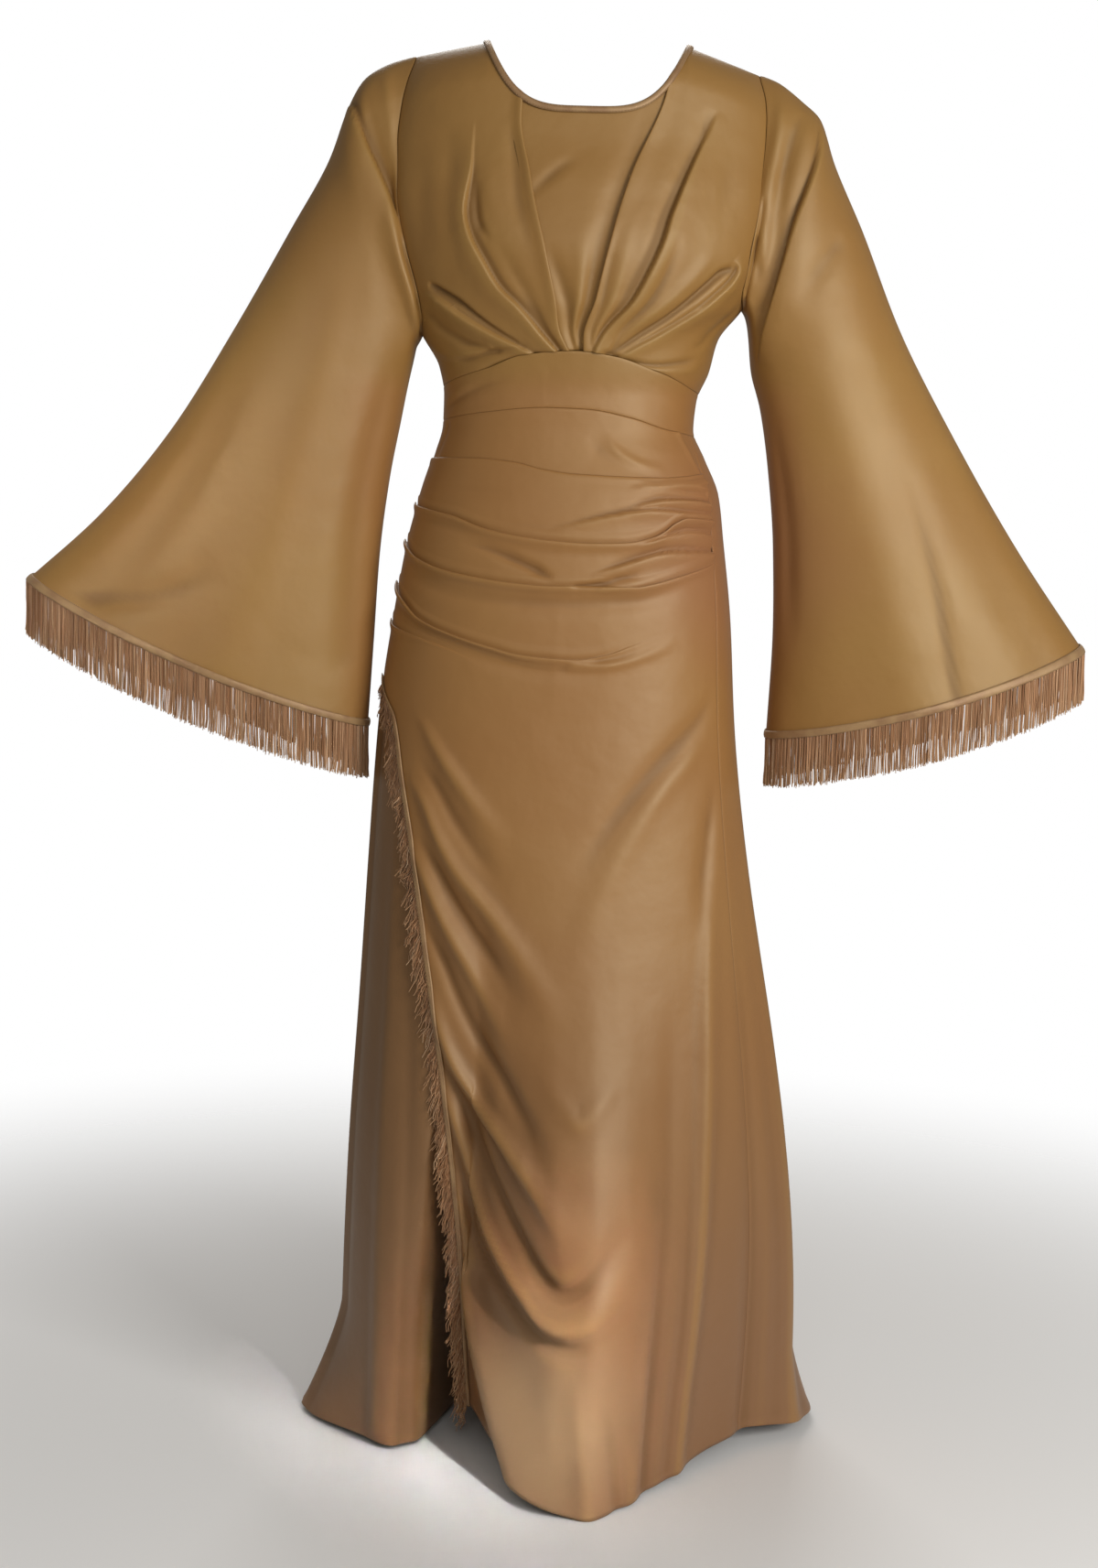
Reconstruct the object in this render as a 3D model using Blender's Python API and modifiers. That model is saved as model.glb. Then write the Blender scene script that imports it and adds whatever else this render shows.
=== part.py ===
"""A worn, floor-length satin maxi dress with bell sleeves, a ruched wrap front and fringe.

The dress is hollow and keeps the form it has when worn. Metres, +Z up. The origin is midway between
the two neck points of the shoulder line; the front faces -Y and +X is to the right as seen in front.
Every piece of cloth is a wall on one worn form, which is a stack of rings. A place on the form is
given by its turn, in degrees round from the centre front, and by its ring height.
"""
import math
from collections import namedtuple

import bpy
import numpy as np

# Driving sizes
WALL = 0.0012            # thickness of the cloth
TRIM_WALL = 0.0010       # thickness of bindings and fringe headings
FRINGE_WALL = 0.0015     # thickness of the layer of strands
SEAM = 0.0007            # space left between two pieces at a seam
SIDE_SEAM_ROOM = 0.0008  # the under layer turns a corner at the side seam, so it stops this much short
LAID_ON = 0.0003         # space under a trim that lies on a panel
TWIST = 0.0014           # more space where the panel under a trim twists between its rows

NECK_HALF_WIDTH = 0.104
NECK_CENTRE = 0.0046
FRONT_NECK_DROP = 0.0745
BACK_NECK_DROP = 0.066
NECK_ROUNDNESS = 3.8     # the scoop's power: 2 is an ellipse, more is squarer
BINDING_WIDTH = 0.007
BINDING_INSET = 0.0002   # its inner edge lies this far outside the neckline

SHOULDER_ROLL = 0.05     # radius of the form over the shoulder
SHOULDER_SLOPE_LEFT = 0.20
SHOULDER_SLOPE_RIGHT = 0.345
SLOPE_ENDS = 0.20        # the rings are level from this far below the shoulder
SQUARENESS = 0.07        # how much fuller than an ellipse a ring is at its corners
UNDERARM_LEFT = -0.306
UNDERARM_RIGHT = -0.272
HEM_HEIGHT = -1.525
UNDER_HEM_HEIGHT = -1.518

CUFF_BAND = 0.009
CUFF_ROOM = 0.0005       # space between a cuff's edge and its fringe
CUFF_FRINGE_LEFT = 0.058
CUFF_FRINGE_RIGHT = 0.053
SLIT_FRINGE = 0.026
UNDER_LAYER = 0.0068     # how far the under layer lies inside the wrap front
UNDER_LAYER_TURNS = 6    # it sinks to that depth over this turn from the side seam
UNDER_LAYER_PAST = 16    # it reaches this far round past the slit
UNDER_LAYER_ENDS = -8    # but not beyond this turn

Ring = namedtuple("Ring", "height left right front back")
RINGS = [
    Ring(0.000, .182, .192, .085, .085),
    Ring(-.030, .196, .204, .085, .088),
    Ring(-.060, .205, .209, .088, .094),
    Ring(-.100, .211, .211, .094, .101),
    Ring(-.160, .212, .209, .110, .106),
    Ring(-.220, .201, .199, .120, .105),
    Ring(-.270, .182, .178, .114, .099),
    Ring(-.305, .167, .152, .105, .094),
    Ring(-.340, .147, .143, .098, .090),
    Ring(-.370, .1415, .131, .094, .087),
    Ring(-.400, .142, .1285, .094, .088),
    Ring(-.430, .1495, .141, .098, .094),
    Ring(-.470, .163, .158, .107, .106),
    Ring(-.520, .177, .165, .115, .119),
    Ring(-.600, .191, .175, .122, .128),
    Ring(-.720, .207, .184, .128, .130),
    Ring(-.880, .216, .203, .140, .140),
    Ring(-1.05, .222, .225, .160, .158),
    Ring(-1.21, .2285, .242, .185, .180),
    Ring(-1.385, .233, .262, .215, .205),
    Ring(-1.525, .240, .280, .245, .228),
]

# The hem seen from above, where it stands on the floor: turn round, then where it lies.
HemPoint = namedtuple("HemPoint", "turn across deep")
HEM = [
    HemPoint(-90, -.242, .030),
    HemPoint(-60, -.200, -.060),
    HemPoint(-35, -.130, -.070),
    HemPoint(-22, -.092, -.065),
    HemPoint(-15, -.062, -.140),
    HemPoint(-8, -.027, -.205),
    HemPoint(0, .008, -.244),
    HemPoint(7, .042, -.254),
    HemPoint(14, .084, -.228),
    HemPoint(22, .124, -.172),
    HemPoint(32, .168, -.112),
    HemPoint(44, .212, -.066),
    HemPoint(62, .256, -.020),
    HemPoint(80, .276, .040),
    HemPoint(98, .268, .105),
    HemPoint(118, .232, .150),
    HemPoint(138, .178, .205),
    HemPoint(158, .104, .205),
    HemPoint(180, .020, .240),
    HemPoint(202, -.060, .210),
    HemPoint(222, -.130, .215),
    HemPoint(242, -.190, .165),
    HemPoint(258, -.228, .105),
    HemPoint(270, -.242, .030),
]
UNDER_HEM = [
    HemPoint(-90, -.242, .030),
    HemPoint(-75, -.235, -.020),
    HemPoint(-60, -.208, -.070),
    HemPoint(-45, -.170, -.102),
    HemPoint(-36, -.143, -.085),
    HemPoint(-28, -.122, -.025),
    HemPoint(-21, -.100, .050),
    HemPoint(-10, -.080, .085),
]
HEM_STARTS = -0.72       # the rings begin to turn into the hem's plan here
HEM_EASE = 1.7

# Where the hem breaks on the floor and kicks out, from so far up; it is all the way out by KICK_TURN
# of that height
KICK_TURN = 0.6
Kick = namedtuple("Kick", "turn spread out rise")
KICKS = [
    Kick(-88, 17, .048, .135),
    Kick(84, 20, .030, .100),
    Kick(136, 16, .024, .150),
    Kick(186, 18, .022, .140),
    Kick(232, 15, .026, .120),
]

# Round the armhole from the shoulder tip (0) to the underarm (180)
ArmholePoint = namedtuple("ArmholePoint", "round_arm turn")
ARMHOLE = [
    ArmholePoint(0, 77),
    ArmholePoint(30, 71),
    ArmholePoint(60, 66),
    ArmholePoint(90, 63),
    ArmholePoint(120, 62.5),
    ArmholePoint(150, 68),
    ArmholePoint(165, 77),
    ArmholePoint(180, 90),
]

# Seams across the form, as a height at each turn
Across = namedtuple("Across", "turn height")
BAND_TOP = [
    Across(-90, -.361), Across(-72, -.357), Across(-38, -.343), Across(-19, -.3285), Across(2, -.3235),
    Across(16, -.328), Across(34, -.341), Across(70, -.360), Across(90, -.363), Across(180, -.352),
    Across(270, -.361),
]
BAND_BOTTOM = [
    Across(-90, -.397), Across(-72, -.395), Across(-39, -.388), Across(-8, -.382), Across(8, -.383),
    Across(26, -.390), Across(50, -.402), Across(90, -.408), Across(180, -.400), Across(270, -.397),
]
WRAP_TOP = [
    Across(-90, -.437), Across(-39, -.436), Across(-22, -.439), Across(-10, -.446), Across(2, -.450),
    Across(33, -.452), Across(66, -.447),
]
HEM_LINE = [
    Across(-90, -1.516), Across(-60, -1.510), Across(-40, -1.512), Across(-22, -1.478), Across(-14, -1.490),
    Across(-4, -1.513), Across(7, -1.525), Across(20, -1.517), Across(34, -1.506), Across(48, -1.502),
    Across(70, -1.511), Across(90, -1.516), Across(180, -1.520), Across(270, -1.516),
]

# Seams and edges down the form, as a turn at each height
Down = namedtuple("Down", "height turn")
INSERT_LEFT = [
    Down(-.066, -16.5), Down(-.094, -16), Down(-.143, -13), Down(-.208, -9.5), Down(-.264, -6.5),
    Down(-.300, -3.5), Down(-.3235, -1),
]
INSERT_RIGHT = [
    Down(-.050, 23), Down(-.065, 22), Down(-.138, 14), Down(-.200, 9.5), Down(-.246, 7),
    Down(-.300, 5), Down(-.3235, 4),
]
RIGHT_SEAM = [
    Down(-.406, 72), Down(-.448, 66), Down(-.550, 64), Down(-.650, 62), Down(-.800, 60),
    Down(-1.00, 56), Down(-1.20, 52), Down(-1.40, 47), Down(-1.525, 44),
]
UNDER_LAYER_TOP = -.651
SLIT = [
    Down(-.640, -90), Down(-.671, -84), Down(-.713, -62), Down(-.775, -54), Down(-.833, -48),
    Down(-.886, -44), Down(-.954, -40), Down(-1.046, -35), Down(-1.165, -30), Down(-1.297, -26),
    Down(-1.400, -24), Down(-1.478, -22),
]

# The hip pleats run from seam to seam: a height and a depth where each passes these turns.
PLEAT_TURNS = (-90, -60, -30, 0, 30, 66)
Pleat = namedtuple("Pleat", "heights depths")
PLEATS = [
    Pleat((-.455, -.455, -.460, -.466, -.468, -.469), (.000, .000, .000, .0005, .0028, .0030)),
    Pleat((-.470, -.472, -.480, -.4965, -.4765, -.483), (.000, .000, .000, .0015, .0030, .0030)),
    Pleat((-.486, -.492, -.509, -.521, -.5155, -.499), (.0040, .0045, .0048, .0040, .0030, .0020)),
    Pleat((-.508, -.515, -.535, -.548, -.530, -.523), (.000, .000, .0005, .0010, .0030, .0030)),
    Pleat((-.527, -.544, -.560, -.567, -.564, -.545), (.0040, .0050, .0050, .0048, .0040, .0020)),
    Pleat((-.570, -.597, -.626, -.642, -.622, -.590), (.0040, .0050, .0055, .0050, .0025, .0005)),
    Pleat((-.612, -.623, -.645, -.665, -.655, -.630), (.0030, .0030, .0010, .000, .000, .000)),
]
PLEAT_STEP = 0.0020      # the height over which a pleat's edge steps out
PLEAT_FOOT = 0.0004      # how far the cloth stands out where it goes in under the next pleat
WRAP_STANDS = 0.0018     # how far the wrap's top edge stands out over the yoke
LAST_PLEAT_FADES = 0.28  # the share of the last pleat's depth that runs on below it and dies away

# The largest soft folds: a curve through three places, how far it stands out and how wide it is
Fold = namedtuple("Fold", "turn0 height0 turn1 height1 turn2 height2 out width")
WRAP_FOLDS = [
    Fold(-44, -.715, -24, -.775, -12, -.850, .0050, .012),
    Fold(-55, -.725, -31, -.835, -8, -.955, .0065, .014),
    Fold(-44, -.830, -29, -.915, -12, -1.030, .0060, .013),
    Fold(-34, -.990, -20, -1.095, 1, -1.235, .0080, .017),
    Fold(-29, -1.105, -12, -1.245, 14, -1.262, .0090, .018),
    Fold(-19, -1.262, -8, -1.325, 6, -1.338, -.0070, .013),
    Fold(-23, -1.240, -14, -1.370, 0, -1.500, .0110, .020),
    Fold(5, -1.410, 7, -1.460, 8, -1.515, .0080, .016),
    Fold(13, -1.380, 14, -1.450, 15, -1.510, -.0090, .016),
    Fold(56, -.700, 32, -.755, 12, -.835, -.0050, .016),
    Fold(44, -.820, 38, -1.000, 33, -1.200, -.0050, .014),
    Fold(54, -.850, 48, -1.000, 42, -1.120, .0045, .013),
    Fold(38, -1.080, 36, -1.200, 34, -1.320, .0055, .013),
    Fold(27, -1.200, 24, -1.330, 21, -1.500, -.0070, .015),
]
UNDER_FOLDS = [
    Fold(-58, -.900, -56, -1.150, -54, -1.480, .0060, .013),
    Fold(-46, -1.000, -43, -1.200, -40, -1.500, -.0070, .012),
]
BACK_FOLDS = [
    Fold(96, -.620, 100, -.950, 106, -1.480, -.0080, .024),
    Fold(118, -.560, 122, -.900, 128, -1.500, .0090, .026),
    Fold(142, -.640, 146, -1.000, 152, -1.500, -.0100, .026),
    Fold(168, -.600, 172, -.950, 176, -1.500, .0090, .030),
    Fold(196, -.620, 196, -1.000, 196, -1.500, -.0100, .028),
    Fold(222, -.560, 219, -.950, 216, -1.500, .0100, .026),
    Fold(246, -.640, 242, -1.000, 238, -1.500, -.0080, .024),
]
LEFT_BODICE_FOLDS = [
    Fold(-29, -.080, -31, -.190, -6, -.318, .0040, .009),
    Fold(-56, -.250, -34, -.285, -10, -.322, .0045, .010),
    Fold(-22, -.150, -20, -.240, -4, -.312, -.0035, .009),
]
RIGHT_BODICE_FOLDS = [
    Fold(36, -.090, 27, -.195, 9, -.315, .0045, .011),
    Fold(56, -.235, 38, -.275, 14, -.322, .0045, .010),
    Fold(28, -.090, 20, -.200, 8, -.305, -.0040, .010),
]
BACK_BODICE_FOLDS = [
    Fold(226, -.120, 214, -.230, 206, -.345, -.0030, .016),
    Fold(134, -.120, 146, -.230, 154, -.345, -.0030, .016),
]

# A sleeve's cross-sections from armhole to cuff: its outer and inner edge, seen from the front,
# half its depth to the front and back, and how far its middle hangs below the line of its edges
Section = namedtuple("Section", "along outer_x outer_z inner_x inner_z front back sag")
LEFT_SLEEVE = [
    Section(0.00, -.1765, -.0160, -.1670, -.3060, .056, .060, .000),
    Section(0.06, -.2030, -.0240, -.1700, -.3130, .058, .062, .000),
    Section(0.12, -.2300, -.0400, -.1735, -.3200, .060, .064, .000),
    Section(0.18, -.2470, -.0680, -.1760, -.3330, .061, .065, .000),
    Section(0.28, -.2680, -.1250, -.1815, -.3600, .062, .066, .000),
    Section(0.40, -.3080, -.1980, -.1885, -.3980, .064, .067, .001),
    Section(0.55, -.3700, -.3080, -.2000, -.4620, .067, .069, .003),
    Section(0.70, -.4360, -.4140, -.2095, -.5450, .070, .071, .005),
    Section(0.85, -.5110, -.5050, -.2145, -.6400, .073, .074, .008),
    Section(1.00, -.5925, -.5800, -.2195, -.7300, .077, .077, .010),
]
RIGHT_SLEEVE = [
    Section(0.00, .1880, -.0330, .1680, -.2720, .056, .060, .000),
    Section(0.06, .2060, -.0390, .1740, -.2800, .058, .062, .000),
    Section(0.12, .2330, -.0570, .1785, -.2890, .060, .064, .000),
    Section(0.18, .2530, -.0740, .1830, -.3050, .061, .065, .000),
    Section(0.28, .2680, -.1150, .1900, -.3400, .062, .066, .000),
    Section(0.40, .3020, -.1870, .2010, -.3780, .064, .067, .001),
    Section(0.55, .3460, -.2900, .2120, -.4450, .067, .069, .003),
    Section(0.70, .4120, -.4080, .2200, -.5250, .070, .071, .005),
    Section(0.85, .4830, -.5210, .2230, -.6200, .073, .074, .008),
    Section(1.00, .5610, -.6300, .2195, -.7320, .077, .077, .012),
]
LEFT_SLEEVE_FOLDS = [
    Fold(35, .02, 50, .10, 62, .22, -.0050, .012),
    Fold(20, .05, 32, .14, 40, .26, .0045, .012),
]
RIGHT_SLEEVE_FOLDS = [
    Fold(40, .02, 55, .10, 66, .24, -.0055, .012),
    Fold(22, .05, 36, .16, 48, .30, -.0045, .012),
]

# The sleeve stands this far off the bodice at the shoulder tip, and this much more at the underarm
ARMHOLE_ROOM = 0.0004
UNDERARM_ROOM = 0.0014
ARMHOLE_REACH = 0.30     # the part of a sleeve's length over which it takes its own section
FOLD_TAPER = 0.22        # the part of a fold's length over which it rises at each end

# How finely each piece is laid out
FRONT_TURNS = (-90, -78, -66, -54, -43, -32, -22, -11, -1, 4, 14, 24, 34, 45, 58, 72, 81, 90)
BACK_TURNS = tuple(range(90, 271, 15))
EDGE_COLUMN = 0.018      # the second column of the wrap front, under the heading on its open edge
LOW_ROWS = 16            # rows of the wrap front below the pleats
SIDE_SEAM_STEPS = 3
ARM_STEPS = (180, 165, 149, 130, 110, 88, 66, 44, 22, 0)
SLEEVE_STEPS = (0, .03, .07, .12, .19, .28, .40, .50, .60, .70, .80, .90, 1)
DIFFERENCE = 0.0008      # the steps used to find a surface's normal: along it,
TURN_DIFFERENCE = 0.4    # round it in degrees,
SLEEVE_DIFFERENCE = 0.004    # and along a sleeve

COLLECTION = "maxi dress"
SATIN = (0.36, 0.235, 0.105)
SATIN_DARK = (0.26, 0.165, 0.085)
TRIM = (0.33, 0.20, 0.115)
STRANDS = (0.42, 0.27, 0.19)


def steps(start, end, count):
    """Evenly spaced values."""
    return np.linspace(start, end, count)


def ease(value):
    """0 to 1 with a level start and end."""
    value = np.clip(value, 0.0, 1.0)
    return value * value * (3.0 - 2.0 * value)


def through(known, values, at):
    """A smooth curve through values at known places that never overshoots them."""
    known = np.asarray(known, float)
    values = np.asarray(values, float)
    if known[0] > known[-1]:
        known, values = known[::-1], values[::-1]
    gaps = np.diff(known)
    rates = np.diff(values) / gaps
    slopes = np.zeros_like(known)
    before, after = rates[:-1], rates[1:]
    together = np.where(before * after > 0, before + after, 1.0)
    slopes[1:-1] = np.where(before * after > 0, 2.0 * before * after / together, 0.0)
    slopes[0], slopes[-1] = rates[0], rates[-1]
    at = np.clip(at, known[0], known[-1])
    cell = np.clip(np.searchsorted(known, at) - 1, 0, len(gaps) - 1)
    part = (at - known[cell]) / gaps[cell]
    return (values[cell] * (1 + 2 * part) * (1 - part) ** 2
            + values[cell + 1] * part * part * (3 - 2 * part)
            + gaps[cell] * slopes[cell] * part * (1 - part) ** 2
            + gaps[cell] * slopes[cell + 1] * part * part * (part - 1))


def column(table, name):
    return [getattr(row, name) for row in table]


def ring_height(drop):
    """Height of a ring, from the distance down the form's middle: round over the shoulder, then straight."""
    turned = np.minimum(drop / SHOULDER_ROLL, math.pi / 2)
    return -SHOULDER_ROLL * (1 - np.cos(turned)) - np.maximum(drop - SHOULDER_ROLL * math.pi / 2, 0.0)


def ring_drop(height):
    """The other way round: distance down the form's middle, from a ring's height."""
    height = np.asarray(height, float)
    over = SHOULDER_ROLL * np.arccos(np.clip(1 + height / SHOULDER_ROLL, 0.0, 1.0))
    return over + np.maximum(-height - SHOULDER_ROLL, 0.0)


def form(turn, drop, hem=HEM):
    """Points of the worn form."""
    turn, drop = np.broadcast_arrays(np.asarray(turn, float), np.asarray(drop, float))
    height = ring_height(drop)
    heights = column(RINGS, "height")
    left, right, front, back = (through(heights, column(RINGS, side), height)
                                for side in ("left", "right", "front", "back"))
    angle = np.radians(turn)
    sine, cosine = np.sin(angle), np.cos(angle)
    rolled = np.sin(np.minimum(drop / SHOULDER_ROLL, math.pi / 2))
    x = (right - left) / 2 + (left + right) / 2 * sine * (1 + SQUARENESS * cosine ** 2)
    y = -np.where(cosine > 0, front, back) * rolled * cosine * (1 + SQUARENESS * sine ** 2)

    turned_in = ease((HEM_STARTS - height) / (HEM_STARTS - HEM_HEIGHT)) ** HEM_EASE
    hem_turns = column(hem, "turn")
    x = x + turned_in * (through(hem_turns, column(hem, "across"), turn) - x)
    y = y + turned_in * (through(hem_turns, column(hem, "deep"), turn) - y)

    off_centre = x - NECK_CENTRE
    slope = np.where(off_centre < 0, SHOULDER_SLOPE_LEFT, SHOULDER_SLOPE_RIGHT)
    past_neck = np.maximum(np.abs(off_centre) - NECK_HALF_WIDTH, 0.0)
    z = height - ease(1 + height / SLOPE_ENDS) * past_neck * slope
    for kick in KICKS:
        away = np.minimum(np.abs(turn - kick.turn), np.abs(turn - 360 - kick.turn))
        away = np.minimum(away, np.abs(turn + 360 - kick.turn))
        risen = ease((HEM_HEIGHT + kick.rise - height) / (KICK_TURN * kick.rise))
        out = kick.out * np.exp(-(away / kick.spread) ** 2) * risen
        x = x + out * sine
        y = y - out * cosine
    return np.stack([x, y, z], -1)


def normals(place, first, second):
    """Outward normals of a surface given by two coordinates."""
    across = place(first + TURN_DIFFERENCE, second) - place(first - TURN_DIFFERENCE, second)
    back = np.maximum(second - DIFFERENCE, 0.0)
    along = place(first, second + DIFFERENCE) - place(first, back)
    normal = np.cross(along, across)
    return normal / np.linalg.norm(normal, axis=-1, keepdims=True)


def fold_curve(place, fold, to_second, count=40):
    """A fold's curve on its surface, through its three places."""
    part = steps(0, 1, count)
    first = through((0, .5, 1), (fold.turn0, fold.turn1, fold.turn2), part)
    second = through((0, .5, 1), (fold.height0, fold.height1, fold.height2), part)
    return place(first, to_second(second)), part


def folded(points, place, folds, to_second):
    """How far each point stands out because of the soft folds."""
    out = np.zeros(points.shape[:-1])
    for fold in folds:
        curve, part = fold_curve(place, fold, to_second)
        gaps = np.linalg.norm(points[..., None, :] - curve, axis=-1)
        nearest = gaps.argmin(-1)
        reach = ease(part[nearest] / FOLD_TAPER) * ease((1 - part[nearest]) / FOLD_TAPER)
        reach = np.where((part[nearest] > 0) & (part[nearest] < 1), reach, 0.0)
        out = out + fold.out * reach * np.exp(-(gaps.min(-1) / fold.width) ** 2)
    return out


def patch(bottom, top, left, right, across, up):
    """Places inside four edges: each edge gives turn and drop for a part of its length."""
    u, v = np.meshgrid(across, up)
    b, t = bottom(u), top(u)
    l, r = left(v), right(v)
    corners = [bottom(np.float64(0)), bottom(np.float64(1)), top(np.float64(0)), top(np.float64(1))]
    inside = []
    for axis in range(2):
        low = corners[0][axis] * (1 - u) + corners[1][axis] * u
        high = corners[2][axis] * (1 - u) + corners[3][axis] * u
        inside.append((1 - v) * b[axis] + v * t[axis] + (1 - u) * l[axis] + u * r[axis]
                      - (1 - v) * low - v * high)
    return inside[0], inside[1]


def draw_in(points, gap, edges="lrbt"):
    """Moves a sheet's edges in by half a seam, so that neighbours stay apart."""
    points = points.copy()
    sides = {"l": (np.s_[:, 0], np.s_[:, 1]), "r": (np.s_[:, -1], np.s_[:, -2]),
             "b": (np.s_[0], np.s_[1]), "t": (np.s_[-1], np.s_[-2])}
    for key in edges:
        edge, inner = sides[key]
        step = points[inner] - points[edge]
        points[edge] += step / np.linalg.norm(step, axis=-1, keepdims=True) * gap
    return points


def satin(name, colour, roughness=0.36):
    material = bpy.data.materials.new(name)
    material.use_nodes = True
    shader = material.node_tree.nodes["Principled BSDF"]
    shader.inputs["Base Color"].default_value = (*colour, 1.0)
    shader.inputs["Roughness"].default_value = roughness
    shader.inputs["Metallic"].default_value = 0.0
    return material


def cloth(name, points, colour, wall=WALL, closed=False, flip=False, roughness=0.36):
    """A sheet of rows of points, outer face given, with a wall inward of it."""
    rows, columns = points.shape[:2]
    faces = []
    for r in range(rows - 1):
        for c in range(columns if closed else columns - 1):
            d = (c + 1) % columns
            face = (r * columns + c, r * columns + d, (r + 1) * columns + d, (r + 1) * columns + c)
            faces.append(face[::-1] if flip else face)
    mesh = bpy.data.meshes.new(name)
    mesh.from_pydata([tuple(p) for p in points.reshape(-1, 3)], [], faces)
    mesh.shade_smooth()
    mesh.materials.append(satin(name + "_satin", colour, roughness))
    piece = bpy.data.objects.new(name, mesh)
    bpy.data.collections[COLLECTION].objects.link(piece)
    shell = piece.modifiers.new("Wall", "SOLIDIFY")
    shell.thickness = wall
    shell.offset = -1.0
    shell.use_rim = True
    return piece


def across_line(table, from_turn, to_turn):
    """An edge across the form between two turns."""
    def edge(part):
        turn = from_turn + (to_turn - from_turn) * part
        return turn, ring_drop(through(column(table, "turn"), column(table, "height"), turn))
    return edge


def upright_line(turn, from_height, to_height):
    """An edge straight down the form at one turn."""
    def edge(part):
        return turn + 0 * part, ring_drop(from_height + (to_height - from_height) * part)
    return edge


def down_line(table, from_height, to_height):
    """An edge down the form between two heights."""
    def edge(part):
        height = from_height + (to_height - from_height) * part
        return through(column(table, "height"), column(table, "turn"), height), ring_drop(height)
    return edge


def shown(turn_drop, folds=(), hem=HEM, sunk=0.0, raised=0.0):
    """A panel's outer points with its folds, moved out or sunk in from the form."""
    turn, drop = turn_drop

    def place(first, second):
        return form(first, second, hem)

    points = place(turn, drop)
    out = folded(points, place, folds, ring_drop) - sunk + raised
    return points + normals(place, turn, drop) * np.asarray(out)[..., None]


def split_front_from_back(points, side):
    """Leaves the seam between front and back pieces at the shoulders and sides."""
    points = points.copy()
    points[..., 1] += side * SEAM / 2
    return points


def neck_turn_drop(round_neck, widen, neck_drop):
    """The scoop neckline, 0 at the centre and 90 at the neck point, as turn and drop."""
    across = NECK_HALF_WIDTH + widen
    x = NECK_CENTRE + across * np.sin(np.radians(round_neck))
    share = np.abs(np.sin(np.radians(round_neck))) ** NECK_ROUNDNESS
    height = -(neck_drop + widen) * (1 - share)
    drop = ring_drop(height)
    return turn_at(x, drop), drop


def turn_at(x, drop):
    """The turn, between -90 and 90, at which a ring passes a given x."""
    turns = np.linspace(-90, 90, 721)
    x, drop = np.broadcast_arrays(np.asarray(x, float), np.asarray(drop, float))
    found = [np.interp(one_x, form(turns, np.full_like(turns, one_drop))[:, 0], turns)
             for one_x, one_drop in zip(x.ravel(), drop.ravel())]
    return np.array(found).reshape(x.shape)


def armhole(round_arm, side):
    """An armhole's edge on the front half of the form, as turn and drop."""
    underarm = UNDERARM_LEFT if side < 0 else UNDERARM_RIGHT
    height = underarm * (1 - np.cos(np.radians(round_arm))) / 2
    turn = through(column(ARMHOLE, "round_arm"), column(ARMHOLE, "turn"), round_arm)
    return side * turn, ring_drop(height)


def bodice_side_places(side):
    """Side seam and armhole as one run of places from band to shoulder tip."""
    underarm = UNDERARM_LEFT if side < 0 else UNDERARM_RIGHT
    band = through(column(BAND_TOP, "turn"), column(BAND_TOP, "height"), side * 90)
    seam = ring_drop(steps(float(band), underarm, SIDE_SEAM_STEPS + 1))[:-1]
    arm_turn, arm_drop = armhole(np.array(ARM_STEPS, float), side)
    turn = np.concatenate([np.full(SIDE_SEAM_STEPS, side * 90.0), arm_turn])
    return turn, np.concatenate([seam, arm_drop])


def bodice_rows():
    """How far up the bodice each of its rows lies, from band (0) to shoulder (1)."""
    shares = [1 - drop / drop[0] for _, drop in (bodice_side_places(-1), bodice_side_places(1))]
    return (shares[0] + shares[1]) / 2


def bodice_side(side):
    """The front's side edge; the back's is its mirror image."""
    turn, drop = bodice_side_places(side)
    rows = bodice_rows()

    def edge(part):
        return np.interp(part, rows, turn), np.interp(part, rows, drop)
    return edge


def insert_edge(table):
    """An edge of the centre insert, from band to neckline, with the neckline's own end."""
    def edge(part):
        top = column(table, "height")[0]
        low = column(table, "height")[-1]
        height = low + (top - low) * part
        return through(column(table, "height"), column(table, "turn"), height), ring_drop(height)
    return edge


def neck_part_at(turn):
    """How far round the front neckline a given turn is."""
    rounds = np.linspace(-90, 90, 361)
    turns, _ = neck_turn_drop(rounds, 0.0, FRONT_NECK_DROP)
    return np.interp(turn, turns, rounds)


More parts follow.
